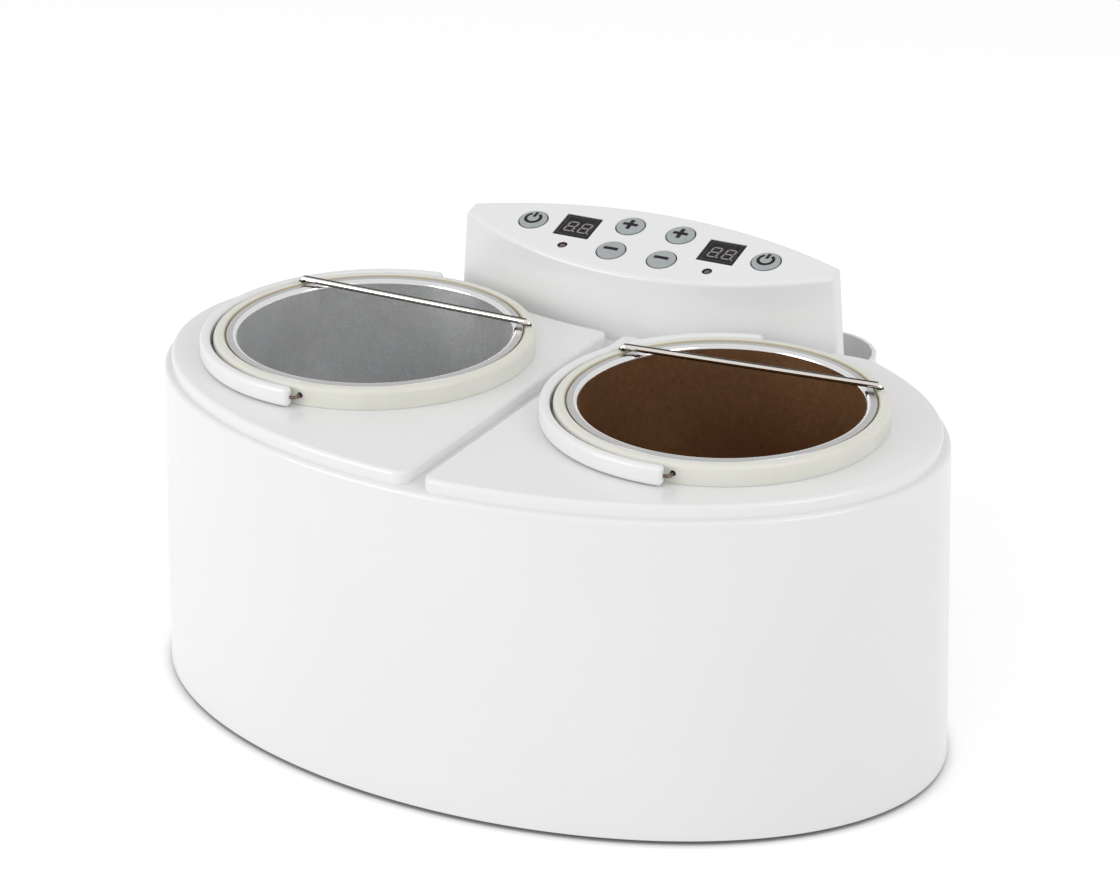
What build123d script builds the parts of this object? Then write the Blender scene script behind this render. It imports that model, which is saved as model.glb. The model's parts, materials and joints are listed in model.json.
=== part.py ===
from build123d import *
from math import cos, sin, radians, sqrt
import os

# Double wax warmer: an oval heated base with a tilted control console, two lift-out
# wax pots with folding handles and wiper bars, and a rear box with two pockets.
# Millimetres. Z = 0 is the table, X runs along the long side, -Y is the front, and the
# origin is the middle of the footprint.

# Base shell, an ellipse seen from above
body_length = 392.2
body_depth = 256.6
shell_height = 151.2
wall_lean = 3.75        # how much smaller the rim is than the foot, on each side
shell_wall = 2.8
deck_wall = 3.0
rim_bevel = 1.3
foot_standoff = 2.0     # gap between the shell's lower edge and the table
column_radius = 4.2     # screw columns under the deck
column_gap = 0.2        # between a column and the post below it
column_pilot_depth = 14.0

# Wax pots
pot_end_margin = 31.25  # from the end of the shell to the collar
pot_line_y = -2.5       # line of the pot centres, measured from the shell's middle
collar_radius = 75.0
collar_width = 5.5
collar_height = 9.8
collar_round = 2.4
mouth_radius = 63.8
pot_depth = 92.0
pot_wall = 1.2
pot_draft = 2.3         # the pot's inside is this much narrower at its floor
pot_floor_bevel = 4.0
lip_radius = 69.0
lip_thickness = 1.4
lip_drop = 0.4          # the lip lies this much lower than the collar
collar_ledge = 3.9      # inward ledge that carries the lip
collar_skirt = 4.0      # how far the collar reaches down into the top plate
collar_skirt_wall = 1.6
left_pot_turn = 4.5     # how the two pots stand in their wells, in degrees
right_pot_turn = 10.0

# Folding handles
handle_gap = 1.3        # between the collar and the grip
handle_thickness = 5.0
handle_rest_gap = 0.4   # between the grip and the top plate
grip_bevel = 1.4
grip_end_angle = 3.2    # the grip stops this far from the hinge line
pin_radius = 1.0
pin_bend = 2.0
pin_in_grip = 4.6
pin_in_collar = 3.6

# Wiper bars
bar_radius = 1.6
bar_offset = 35.3       # from the pot's centre
bar_half_length = 62.2
bar_lift = 2.2          # the bar's centre above the collar
bar_bend = 2.0
bar_twist = -4.5        # the bar against the handle's hinge line, in degrees
bar_foot_depth = 4.0

# Raised top plates
plate_height = 6.3
plate_inset = 3.6       # ledge that stays open round the plates
plate_wall = 2.4
plate_bevel = 1.9
channel_width = 8.0
plate_opening_radius = 68.0
plate_seat_wall = 2.2
plate_front_corner = 6.0
plate_inner_corner = 3.5
plate_outer_corner = 14.0
plate_boss_radius = 3.4

# Control console
console_half_length = 101.0
console_end_lean = 4.0
console_depth = 52.25   # from the foot of the front wall to the foot of the back wall
console_back_gap = 0.4  # from the rim to the foot of the back wall
console_front_radius = 206.0
console_back_radius = 287.5
console_lean = 0.9
console_height = 40.96  # above the deck, in the middle of the face
console_lean_height = 48.0
console_tilt = 15.5
console_wall = 2.5
console_edge = 1.8
console_corner = 2.4
console_gap = 4.8       # between the console's foot and the top plates
console_column_radius = 3.6
console_pilot_depth = 11.0
cable_slot_length = 60.0
cable_slot_width = 9.0

# Controls, placed on the console's tilted face
button_radius = 7.1
button_rise = 0.9
button_bevel = 0.5
button_travel = 0.8
button_gap = 0.4
button_flange = 1.0
button_flange_height = 0.8
button_stop_gap = 0.1   # between the flange and the underside of the face
button_stem_radius = 1.5
power_place = (62.0, 2.25)
plus_place = (13.4, 10.55)
minus_place = (13.4, -10.35)
display_place = (38.3, 3.35)
led_place = (38.4, -12.65)
display_width = 19.2
display_height = 17.5
display_gap = 0.25
window_recess = 0.2     # displays and lamps lie this far below the face
led_radius = 2.5
led_gap = 0.1
board_drop = 10.5       # from the face to the circuit board
board_thickness = 1.6
board_half_length = 70.0
board_front = -16.3     # edges of the board, along the face
board_back = 16.5
board_gap = 1.0
board_boss_radius = 2.4
board_front_screw = (53.0, -10.3)
board_back_screw = (25.0, 13.6)
switch_size = 6.0
switch_height = 3.4
stem_engagement = 0.2   # how far the button's stem reaches into its switch
stem_room = 0.8         # below the stem when the button is pressed

# Heating wells and what is fixed to them
well_radius = 67.8
well_wall = 1.5
well_floor_gap = 1.0
well_flange_radius = 77.0
well_bevel = 3.0
deck_opening_radius = 70.3
band_height = 40.0
band_thickness = 3.0
band_gap = 9.0
band_rise = 14.0        # from the well's floor to the band
tab_length = 11.0
thermostat_radius = 7.9
thermostat_height = 9.0
thermostat_ear_length = 30.0
thermostat_ear_width = 9.0
thermostat_ear_height = 0.8
thermostat_tab_spacing = 8.0
thermostat_tab_width = 6.3
thermostat_tab_height = 8.0

# Bottom cover and feet
base_thickness = 2.5
base_gap = 0.4
post_radius = 5.6
post_height = 10.0
counterbore_depth = 6.0
head_gap = 0.6
foot_radius = 11.0
foot_recess = 1.0
foot_gap = 0.15
foot_stem_radius = 2.5
foot_stem_rise = 0.8    # above the bottom cover
foot_edge = 0.8
foot_margin_x = 71.1    # from the end of the shell to the middle of a foot
foot_margin_y = 60.3
vent_length = 50.0
vent_width = 3.6
vent_pitch = 8.0
vent_count = 7

# Power board and what stands on it
power_board_y = -6.0    # measured from the shell's middle
power_board_length = 110.0
power_board_width = 74.0
board_standoff = 8.0
standoff_radius = 3.5
standoff_margin = 6.0   # from the board's edge to its screws
transformer_place = (-28.0, 0.0)
core_length = 41.0
core_width = 14.0
core_height = 34.0
coil_length = 26.0
coil_width = 31.0
coil_height = 23.0
relay_x = 12.0
relay_spacing = 24.0
relay_length = 19.0
relay_width = 15.5
relay_height = 15.5
terminal_x = 42.0
terminal_depth = 10.0
terminal_height = 12.0
terminal_pitch = 9.5
terminal_ways = 5
terminal_hole = 4.0

# Rear box, a wide pocket beside a narrow one
box_half_length = 108.6
box_reach = 21.2        # how far it stands out behind the foot of the shell
box_outline_depth = 89.5
box_top_drop = 7.0      # the box's rim below the deck
box_height = 67.0
box_wall = 2.2
box_corner = 30.0
box_gap = 0.3
box_rim_bevel = 0.7
divider_x = 28.0
spatula_floor_rise = 28.0
box_boss_radius = 4.6
box_boss_depth = 10.0   # of the bosses inside the shell
box_boss_floor = 1.2    # left at the blind end of a boss
box_seat_rise = 0.8     # of the screw seats above the box's front wall
box_screw_places = [(-60.0, 20.0), (10.0, 20.0), (-60.0, 52.0), (60.0, 52.0)]

# Mains inlet
inlet_width = 31.0
inlet_height = 24.0
inlet_rise = 32.0
inlet_seat_depth = 2.2  # from the foot's outline to the flat seat
inlet_flange = 2.2
inlet_corner = 2.5
inlet_gap = 0.4
inlet_pad_margin = 3.5
inlet_pad_thickness = 3.0
inlet_wall = 1.8
inlet_depth = 22.0
socket_width = 24.0
socket_height = 16.0
socket_depth = 17.0
socket_chamfer = 4.0
contact_width = 2.0
contact_height = 4.0
contact_recess = 3.0
contact_tail = 6.0
contact_places = [(0.0, 3.5), (-7.0, -2.5), (7.0, -2.5)]

# Fasteners
screw_radius = 1.45
screw_head_radius = 3.0
screw_head_height = 2.0
small_screw_radius = 1.1
small_head_radius = 2.2
small_head_height = 1.4
pilot_gap = 0.05
shank_gap = 0.25
pin_gap = 0.05
screw_end_gap = 0.8     # between a screw's end and the end of its pilot hole

# Worked-out places
half_length = body_length / 2
half_depth = body_depth / 2
body_y = -box_reach / 2
rim_half_length = half_length - wall_lean
rim_half_depth = half_depth - wall_lean
z_shell = foot_standoff
z_deck = z_shell + shell_height
z_under_deck = z_deck - deck_wall
z_plate = z_deck + plate_height
z_collar = z_plate + collar_height
z_lip = z_collar - lip_drop
z_hinge = z_plate + collar_height / 2
z_base = z_shell + base_thickness
z_post = z_base + post_height
z_power_board = z_base + board_standoff
pot_x = half_length - pot_end_margin - collar_radius
pot_y = body_y + pot_line_y
foot_x = half_length - foot_margin_x
foot_y = half_depth - foot_margin_y
console_back_y = rim_half_depth - console_back_gap
console_front_y = console_back_y - console_depth
console_middle_y = (console_front_y + console_back_y) / 2
z_well_floor = z_lip - pot_depth - pot_wall - well_floor_gap
grip_middle = collar_radius + handle_gap + handle_thickness / 2
grip_height = 2 * (z_hinge - z_plate - handle_rest_gap)
flange_radius = button_radius + button_flange
box_rim_z = z_deck - box_top_drop
box_floor_z = box_rim_z - box_height
box_back_y = half_depth + box_reach
inlet_seat_y = half_depth - inlet_seat_depth

sides = {"left": -1, "right": 1}
pot_turns = {"left": left_pot_turn, "right": right_pot_turn}
button_places = {"power": power_place, "plus": plus_place, "minus": minus_place}

# Screw places shared by more than one piece, measured from the shell's middle
end_column_margin = 28.0
end_column_spacing = 60.0
front_column_margin = 28.0
back_column_margin = 44.0
plate_screw_x = 14.0
plate_screw_margin = 22.0
plate_end_margin = 13.0
console_end_screw_margin = 19.8
console_end_screw_shift = 1.0
console_front_screw_x = 30.0
console_front_screw_margin = 8.0
column_x = half_length - end_column_margin
base_screw_places = [
    (-column_x, -end_column_spacing / 2),
    (-column_x, end_column_spacing / 2),
    (column_x, -end_column_spacing / 2),
    (column_x, end_column_spacing / 2),
    (0.0, front_column_margin - half_depth),
    (0.0, half_depth - back_column_margin),
]
plate_screw_places = {
    side: [
        (sign * plate_screw_x, front_column_margin - half_depth),
        (sign * plate_screw_x, console_front_y - plate_screw_margin),
        (sign * (rim_half_length - plate_inset - plate_end_margin), pot_line_y),
    ]
    for side, sign in sides.items()
}
console_end_screw_x = console_half_length - console_end_screw_margin
console_screw_places = [
    (-console_end_screw_x, console_middle_y + console_end_screw_shift),
    (console_end_screw_x, console_middle_y + console_end_screw_shift),
    (-console_front_screw_x, console_front_y + console_front_screw_margin),
    (console_front_screw_x, console_front_y + console_front_screw_margin),
]

os.makedirs("parts", exist_ok=True)


def finish(piece, name):
    """Label a finished piece and write its STEP file."""
    piece.part.label = name
    export_step(piece.part, f"parts/{name}.step")


def level(z):
    """Horizontal plane through the shell's middle."""
    return Plane((0, body_y, z))


def back_plane(y, z):
    """Upright plane at a depth and height, whose normal points in from the back."""
    return Plane((0, body_y + y, z), x_dir=(1, 0, 0), z_dir=(0, -1, 0))


def face_plane(drop=0.0):
    """Plane of the console's tilted face, or parallel to it and lower."""
    tilt = radians(console_tilt)
    face = Plane(
        origin=(0, body_y + console_middle_y, z_deck + console_height),
        x_dir=(1, 0, 0),
        z_dir=(0, -sin(tilt), cos(tilt)),
    )
    return face.offset(-drop)


def both_sides(place):
    """A place on the console's face and its mirror image."""
    return [(-place[0], place[1]), (place[0], place[1])]


board_screw_places = both_sides(board_front_screw) + both_sides(board_back_screw)


def pot_frame(side, z=0.0, twist=0.0):
    """Frame of one pot: its own X points away from the grip, its Y along the hinge."""
    turn = radians(pot_turns[side] + twist)
    return Plane(
        origin=(sides[side] * pot_x, pot_y, z),
        x_dir=(cos(turn), sin(turn), 0),
        z_dir=(0, 0, 1),
    )


def upright(frame, y=0.0):
    """Vertical plane along a frame's X axis, for turned profiles and bent rods."""
    return Plane(
        origin=frame.origin + frame.y_dir * y, x_dir=frame.x_dir, z_dir=-frame.y_dir)


def turned(frame, points):
    """Turn a closed profile of radius and height round a frame's upright axis."""
    with BuildPart() as piece:
        with BuildSketch(upright(frame)):
            with BuildLine():
                Polyline(*points, close=True)
            make_face()
        revolve(axis=Axis(frame.origin, frame.z_dir))
    return piece.part


def bent_rod(plane, points, bend, radius):
    """Round rod along points on a plane, with its corners bent."""
    with BuildPart() as rod:
        with BuildLine(plane) as path:
            FilletPolyline(*points, radius=bend)
        with BuildSketch(Plane(origin=path.line @ 0, z_dir=path.line % 0)):
            Circle(radius)
        sweep()
    return rod.part


def screws(places, plane, length, radius, head_radius, head_height):
    """Screws whose heads rest on a plane and whose shanks run along its normal."""
    with BuildPart() as group:
        with BuildSketch(plane):
            with Locations(*places):
                Circle(head_radius)
        extrude(amount=-head_height)
        with BuildSketch(plane):
            with Locations(*places):
                Circle(radius)
        extrude(amount=length)
    return group


def shell_form(growth, top=z_deck, bevel=0.0):
    """The shell's tapering oval form, grown or shrunk, with a front and a back wall."""
    insets = {
        z_shell: 0.0,
        top - bevel: wall_lean * (1 - bevel / shell_height),
        top: wall_lean + bevel,
    }
    with BuildPart() as form:
        for z, inset in insets.items():
            radii = (half_length - inset + growth, half_depth - inset + growth)
            with BuildSketch(level(z)):
                with BuildLine():
                    EllipticalCenterArc((0, 0), *radii, arc_size=180)
                    EllipticalCenterArc((0, 0), *radii, 180, arc_size=180)
                make_face()
        loft(ruled=True)
    return form.part


def shell_back(x, z):
    """Depth of the shell's rear wall at one place, from the shell's middle."""
    inset = wall_lean * (z - z_shell) / shell_height
    return (half_depth - inset) * sqrt(1 - (x / (half_length - inset)) ** 2)


def box_seat(x, rise):
    """Depth of a screw seat on the rear box's front wall."""
    return shell_back(x, box_floor_z + rise) + box_gap + box_wall + box_seat_rise


# Base shell
with BuildPart() as body_shell:
    add(shell_form(0.0, bevel=rim_bevel))
    add(shell_form(-shell_wall, z_under_deck), mode=Mode.SUBTRACT)
    # Screw columns, from the deck to the posts of the bottom cover
    with BuildSketch(level(z_under_deck)):
        with Locations(*base_screw_places):
            Circle(column_radius)
    extrude(amount=z_post + column_gap - z_under_deck)
    with BuildSketch(level(z_post)):
        with Locations(*base_screw_places):
            Circle(screw_radius + pilot_gap)
    extrude(amount=column_pilot_depth, mode=Mode.SUBTRACT)
    # Openings for the wells, the console's cable and the screws
    with BuildSketch(level(z_deck)):
        for sign in sides.values():
            with Locations((sign * pot_x, pot_line_y)):
                Circle(deck_opening_radius)
        with Locations((0, console_middle_y)):
            SlotOverall(cable_slot_length, cable_slot_width)
        with Locations(*console_screw_places):
            Circle(screw_radius + shank_gap)
        with Locations(*plate_screw_places["left"], *plate_screw_places["right"]):
            Circle(small_screw_radius + shank_gap)
    extrude(amount=-deck_wall, mode=Mode.SUBTRACT)
    # Bosses and pilot holes behind the rear box, and the pad round the mains inlet
    for x, rise in box_screw_places:
        wall_y = shell_back(x, box_floor_z + rise)
        with BuildSketch(back_plane(wall_y - box_boss_depth, box_floor_z)):
            with Locations((x, rise)):
                Circle(box_boss_radius)
        extrude(amount=-2 * box_boss_depth)
    with BuildSketch(back_plane(inlet_seat_y, inlet_rise)):
        RectangleRounded(
            inlet_width + 2 * inlet_pad_margin,
            inlet_height + 2 * inlet_pad_margin,
            inlet_corner + inlet_pad_margin,
        )
    extrude(amount=inlet_pad_thickness)
    add(shell_form(0.0), mode=Mode.INTERSECT)
    for x, rise in box_screw_places:
        wall_y = shell_back(x, box_floor_z + rise)
        with BuildSketch(back_plane(wall_y + box_boss_depth, box_floor_z)):
            with Locations((x, rise)):
                Circle(screw_radius + pilot_gap)
        extrude(amount=2 * box_boss_depth - box_boss_floor, mode=Mode.SUBTRACT)
    # Flat seat and cut-out for the mains inlet
    with BuildSketch(back_plane(inlet_seat_y, inlet_rise)):
        RectangleRounded(
            inlet_width + 2 * inlet_gap, inlet_height + 2 * inlet_gap, inlet_corner + inlet_gap)
    extrude(amount=-2 * inlet_flange, mode=Mode.SUBTRACT)
    with BuildSketch(back_plane(inlet_seat_y, inlet_rise)):
        Rectangle(
            socket_width + 2 * (inlet_wall + inlet_gap),
            socket_height + 2 * (inlet_wall + inlet_gap),
        )
    extrude(amount=2 * inlet_pad_thickness, mode=Mode.SUBTRACT)
finish(body_shell, "body_shell")

# Bottom cover with its screw posts, vents, foot recesses and board standoffs
with BuildPart() as base_plate:
    with BuildSketch(level(z_shell)):
        Ellipse(half_length - shell_wall - base_gap, half_depth - shell_wall - base_gap)
        for sign in sides.values():
            with Locations((sign * pot_x, pot_line_y)):
                with GridLocations(0, vent_pitch, 1, vent_count):
                    Rectangle(vent_length, vent_width, mode=Mode.SUBTRACT)
    extrude(amount=base_thickness)
    with BuildSketch(level(z_base)):
        with Locations(*base_screw_places):
            Circle(post_radius)
    extrude(amount=post_height)
    with BuildSketch(level(z_base)):
        with Locations((0, power_board_y)):
            with GridLocations(
                power_board_length - 2 * standoff_margin,
                power_board_width - 2 * standoff_margin, 2, 2,
            ):
                Circle(standoff_radius)
                Circle(small_screw_radius + pilot_gap, mode=Mode.SUBTRACT)
    extrude(amount=board_standoff)
    with BuildSketch(level(z_post)):
        with Locations(*base_screw_places):
            Circle(screw_radius + shank_gap)
    extrude(amount=-post_height - base_thickness, mode=Mode.SUBTRACT)
    with BuildSketch(level(z_shell)):
        with Locations(*base_screw_places):
            Circle(screw_head_radius + head_gap)
    extrude(amount=counterbore_depth, mode=Mode.SUBTRACT)
    with BuildSketch(level(z_shell)):
        with GridLocations(2 * foot_x, 2 * foot_y, 2, 2):
            Circle(foot_radius + foot_gap)
    extrude(amount=foot_recess, mode=Mode.SUBTRACT)
    with BuildSketch(level(z_shell)):
        with GridLocations(2 * foot_x, 2 * foot_y, 2, 2):
            Circle(foot_stem_radius + pin_gap)
    extrude(amount=base_thickness, mode=Mode.SUBTRACT)
finish(base_plate, "base_plate")

with BuildPart() as rubber_feet:
    with BuildSketch(level(0)):
        with GridLocations(2 * foot_x, 2 * foot_y, 2, 2):
            Circle(foot_radius)
    extrude(amount=z_shell + foot_recess)
    chamfer(rubber_feet.edges().group_by(Axis.Z)[0], foot_edge)
    with BuildSketch(level(z_shell)):
        with GridLocations(2 * foot_x, 2 * foot_y, 2, 2):
            Circle(foot_stem_radius)
    extrude(amount=base_thickness + foot_stem_rise)
finish(rubber_feet, "rubber_feet")

base_screws = screws(
    base_screw_places, level(z_shell + counterbore_depth),
    z_post - z_shell - counterbore_depth + column_pilot_depth - screw_end_gap,
    screw_radius, screw_head_radius, screw_head_height)
finish(base_screws, "base_screws")


def plate_form(side, inset, height):
    """Half of the raised top, between the channel, the console and the rim."""
    with BuildPart() as form:
        with BuildSketch(level(z_deck)):
            Ellipse(
                rim_half_length - plate_inset - inset, rim_half_depth - plate_inset - inset)
            with Locations((sides[side] * (channel_width / 2 + inset + half_length), 0)):
                Rectangle(2 * half_length, 2 * half_depth, mode=Mode.INTERSECT)
            with Locations((0, console_front_y + console_front_radius)):
                Circle(console_front_radius + console_gap + inset, mode=Mode.SUBTRACT)
        extrude(amount=height)
        corners = {0: plate_front_corner, -2: plate_inner_corner, -1: plate_outer_corner}
        for index, radius in corners.items():
            fillet(form.edges().filter_by(Axis.Z).sort_by(Axis.Y)[index], radius - inset)
    return form.part


# Raised top plates, hollow below, each with a seat that holds its well's flange down
for side, sign in sides.items():
    with BuildPart() as plate_hollow:
        add(plate_form(side, plate_wall, plate_height - plate_wall))
        with BuildSketch(level(z_deck)):
            with Locations(*plate_screw_places[side]):
                Circle(plate_boss_radius)
        extrude(amount=plate_height, mode=Mode.SUBTRACT)
        with BuildSketch(level(z_deck + well_wall)):
            with Locations((sign * pot_x, pot_line_y)):
                Circle(plate_opening_radius + plate_seat_wall)
        extrude(amount=plate_height, mode=Mode.SUBTRACT)
    with BuildPart() as top_plate:
        add(plate_form(side, 0.0, plate_height))
        chamfer(top_plate.faces().sort_by(Axis.Z)[-1].edges(), plate_bevel)
        add(plate_hollow.part, mode=Mode.SUBTRACT)
        with BuildSketch(level(z_deck)):
            with Locations((sign * pot_x, pot_line_y)):
                Circle(plate_opening_radius)
        extrude(amount=plate_height, mode=Mode.SUBTRACT)
        with BuildSketch(level(z_deck)):
            with Locations(*plate_screw_places[side]):
                Circle(small_screw_radius + pilot_gap)
        extrude(amount=plate_height - plate_wall, mode=Mode.SUBTRACT)
    finish(top_plate, f"{side}_top_plate")

plate_screws = screws(
    plate_screw_places["left"] + plate_screw_places["right"], level(z_under_deck),
    deck_wall + plate_height - plate_wall - screw_end_gap,
    small_screw_radius, small_head_radius, small_head_height)
finish(plate_screws, "plate_screws")

# Heating wells, their heater bands and thermostats
for side, sign in sides.items():
    well_frame = Plane((sign * pot_x, pot_y, 0))
    z_cup = z_well_floor - well_wall
    with BuildPart() as heating_well:
        add(turned(well_frame, [
            (0, z_well_floor), (well_radius - well_bevel, z_well_floor),
            (well_radius, z_well_floor + well_bevel),
            (well_radius, z_deck + well_wall), (well_flange_radius, z_deck + well_wall),
            (well_flange_radius, z_deck), (well_radius + well_wall, z_deck),
            (well_radius + well_wall, z_well_floor + well_bevel),
            (well_radius - well_bevel, z_cup), (0, z_cup),
        ]))
    finish(heating_well, f"{side}_heating_well")

    band_outside = well_radius + well_wall + band_thickness
    tab_y = (band_gap + band_thickness) / 2
    with BuildPart() as heater_band:
        with BuildSketch(well_frame.offset(z_well_floor + band_rise)):
            Circle(band_outside)
            with Locations((-sign * band_outside, 0)):
                with GridLocations(0, 2 * tab_y, 1, 2):
                    Rectangle(2 * tab_length, band_thickness)
                Rectangle(2 * tab_length, band_gap, mode=Mode.SUBTRACT)
            Circle(band_outside - band_thickness, mode=Mode.SUBTRACT)
        extrude(amount=band_height)
        with BuildSketch(Plane(
            (sign * (pot_x - band_outside - tab_length / 2), pot_y,
             z_well_floor + band_rise + band_height / 2), z_dir=(0, 1, 0))):
            Circle(small_screw_radius + shank_gap)
        extrude(amount=tab_length, both=True, mode=Mode.SUBTRACT)
    finish(heater_band, f"{side}_heater_band")

    with BuildPart() as thermostat:
        with BuildSketch(well_frame.offset(z_cup)):
            SlotOverall(thermostat_ear_length, thermostat_ear_width)
        extrude(amount=-thermostat_ear_height)
        with BuildSketch(well_frame.offset(z_cup)):
            Circle(thermostat_radius)
        extrude(amount=-thermostat_height)
        with BuildSketch(well_frame.offset(z_cup - thermostat_height)):
            with GridLocations(thermostat_tab_spacing, 0, 2, 1):
                Rectangle(thermostat_ear_height, thermostat_tab_width)
        extrude(amount=-thermostat_tab_height)
    finish(thermostat, f"{side}_thermostat")

clamp_plane = Plane(
    (0, pot_y - tab_y - band_thickness / 2, z_well_floor + band_rise + band_height / 2),
    x_dir=(1, 0, 0), z_dir=(0, 1, 0))
clamp_x = pot_x - band_outside - tab_length / 2
band_screws = screws(
    [(-clamp_x, 0), (clamp_x, 0)], clamp_plane, 2 * tab_y + 2 * band_thickness,
    small_screw_radius, small_head_radius, small_head_height)
finish(band_screws, "band_screws")


def console_form(inset, drop, corner=0.0):
    """The console's form between its curved walls, cut off along its tilted face."""
    leans = {0.0: (0.0, 0.0), console_lean_height: (console_lean, console_end_lean)}
    with BuildPart() as form:
        for height, (lean, end_lean) in leans.items():
            with BuildSketch(level(z_deck + height)):
                with Locations((0, console_front_y + console_front_radius)):
                    Circle(console_front_radius - inset - lean)
                with Locations((0, console_back_y - console_back_radius)):
                    Circle(console_back_radius - inset - lean, mode=Mode.INTERSECT)
                with Locations((0, console_middle_y)):
                    Rectangle(
                        2 * (console_half_length - inset - end_lean),
                        2 * console_lean_height, mode=Mode.INTERSECT)
        loft()
        if corner:
            middle = z_deck + console_lean_height / 2
            fillet(form.edges().filter_by_position(
                Axis.Z, middle - console_wall, middle + console_wall), corner)
        split(bisect_by=face_plane(drop), keep=Keep.BOTTOM)
    return form.part


# Console housing, open below, with the bosses for its own and the board's screws
with BuildPart() as console_hollow:
    add(console_form(console_wall, console_wall))
    with BuildSketch(level(z_deck)):
        with Locations(*console_screw_places):
            Circle(console_column_radius)
    extrude(amount=2 * console_height, mode=Mode.SUBTRACT)
    with BuildSketch(face_plane(board_drop)):
        with Locations(*board_screw_places):
            Circle(board_boss_radius)
    extrude(amount=board_drop, mode=Mode.SUBTRACT)

with BuildPart() as console_housing:
    add(console_form(0.0, 0.0, console_corner))
    fillet(console_housing.faces().sort_by(Axis.Z)[-1].edges(), console_edge)
    add(console_hollow.part, mode=Mode.SUBTRACT)
    with BuildSketch(face_plane()):
        for place in button_places.values():
            with Locations(*both_sides(place)):
                Circle(button_radius + button_gap)
        with Locations(*both_sides(display_place)):
            Rectangle(display_width, display_height)
        with Locations(*both_sides(led_place)):
            Circle(led_radius)
    extrude(amount=-2 * console_wall, mode=Mode.SUBTRACT)
    with BuildSketch(face_plane(board_drop)):
        with Locations(*board_screw_places):
            Circle(small_screw_radius + pilot_gap)
    extrude(amount=board_drop - console_wall, mode=Mode.SUBTRACT)
    with BuildSketch(level(z_deck)):
        with Locations(*console_screw_places):
            Circle(screw_radius + pilot_gap)
    extrude(amount=console_pilot_depth, mode=Mode.SUBTRACT)
finish(console_housing, "console_housing")

console_screws = screws(
    console_screw_places, level(z_under_deck), deck_wall + console_pilot_depth - screw_end_gap,
    screw_radius, screw_head_radius, screw_head_height)
finish(console_screws, "console_screws")


def board_edge(x, front):
    """Edge of the control board beside the console's curved wall, along the face."""
    tilt = radians(console_tilt)
    margin = console_wall + console_lean + board_gap
    if front:
        radius = console_front_radius - margin
        wall_y = console_front_y + console_front_radius - sqrt(radius ** 2 - x ** 2)
    else:
        radius = console_back_radius - margin
        wall_y = console_back_y - console_back_radius + sqrt(radius ** 2 - x ** 2)
    return (wall_y - console_middle_y - board_drop * sin(tilt)) / cos(tilt)


# Control board with its switches, displays and lamps
z_board_bottom = board_drop + board_thickness
with BuildPart() as control_board:
    with BuildSketch(face_plane(z_board_bottom)):
        with Locations((0, (board_front + board_back) / 2)):
            Rectangle(2 * board_half_length, board_back - board_front)
        with BuildLine():
            end = board_half_length + board_gap
            front_arc = ThreePointArc(
                (-end, board_edge(end, True)), (0, board_edge(0, True)),
                (end, board_edge(end, True)))
            back_arc = ThreePointArc(
                (-end, board_edge(end, False)), (0, board_edge(0, False)),
                (end, board_edge(end, False)))
            Line(front_arc @ 0, back_arc @ 0)
            Line(front_arc @ 1, back_arc @ 1)
        make_face(mode=Mode.INTERSECT)
        with Locations(*board_screw_places):
            Circle(small_screw_radius + shank_gap, mode=Mode.SUBTRACT)
    extrude(amount=board_thickness)
finish(control_board, "control_board")

board_screws = screws(
    board_screw_places, face_plane(z_board_bottom),
    z_board_bottom - console_wall - screw_end_gap,
    small_screw_radius, small_head_radius, small_head_height)
finish(board_screws, "board_screws")

with BuildPart() as button_switches:
    with BuildSketch(face_plane(board_drop)):
        for place in button_places.values():
            with Locations(*both_sides(place)):
                Rectangle(switch_size, switch_size)
    extrude(amount=switch_height)
    with BuildSketch(face_plane(board_drop - switch_height)):
        for place in button_places.values():
            with Locations(*both_sides(place)):
                Circle(button_stem_radius + shank_gap)
    extrude(amount=-stem_engagement - button_travel - stem_room, mode=Mode.SUBTRACT)
finish(button_switches, "button_switches")

stem_drop = board_drop - switch_height + stem_engagement
flange_drop = console_wall + button_stop_gap
for side, sign in sides.items():
    for kind, place in button_places.items():
        with BuildPart() as button:
            with BuildSketch(face_plane(flange_drop)):
                with Locations((sign * place[0], place[1])):
                    Circle(button_radius)
            extrude(amount=flange_drop + button_rise)
            chamfer(button.faces().sort_by(Axis.Z)[-1].edges(), button_bevel)
            with BuildSketch(face_plane(flange_drop + button_flange_height)):
                with Locations((sign * place[0], place[1])):
                    Circle(flange_radius)
            extrude(amount=button_flange_height)
            with BuildSketch(face_plane(stem_drop)):
                with Locations((sign * place[0], place[1])):
                    Circle(button_stem_radius)
            extrude(amount=stem_drop - flange_drop)
        finish(button, f"{side}_{kind}_button")

    with BuildPart() as display:
        with BuildSketch(face_plane(board_drop)):
            with Locations((sign * display_place[0], display_place[1])):
                Rectangle(display_width - 2 * display_gap, display_height - 2 * display_gap)
        extrude(amount=board_drop - window_recess)
    finish(display, f"{side}_display")

    with BuildPart() as status_led:
        with BuildSketch(face_plane(board_drop)):
            with Locations((sign * led_place[0], led_place[1])):
                Circle(led_radius - led_gap)
        extrude(amount=board_drop - window_recess)
    finish(status_led, f"{side}_status_led")

# Power board on the bottom cover's standoffs
power_plane = Plane((0, body_y + power_board_y, z_power_board))
parts_plane = power_plane.offset(board_thickness)
power_screw_x = power_board_length / 2 - standoff_margin
power_screw_y = power_board_width / 2 - standoff_margin
power_screw_places = [
    (-power_screw_x, -power_screw_y), (-power_screw_x, power_screw_y),
    (power_screw_x, -power_screw_y), (power_screw_x, power_screw_y),
]
with BuildPart() as power_board:
    with BuildSketch(power_plane):
        Rectangle(power_board_length, power_board_width)
        with Locations(*power_screw_places):
            Circle(small_screw_radius + shank_gap, mode=Mode.SUBTRACT)
    extrude(amount=board_thickness)
finish(power_board, "power_board")

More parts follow.
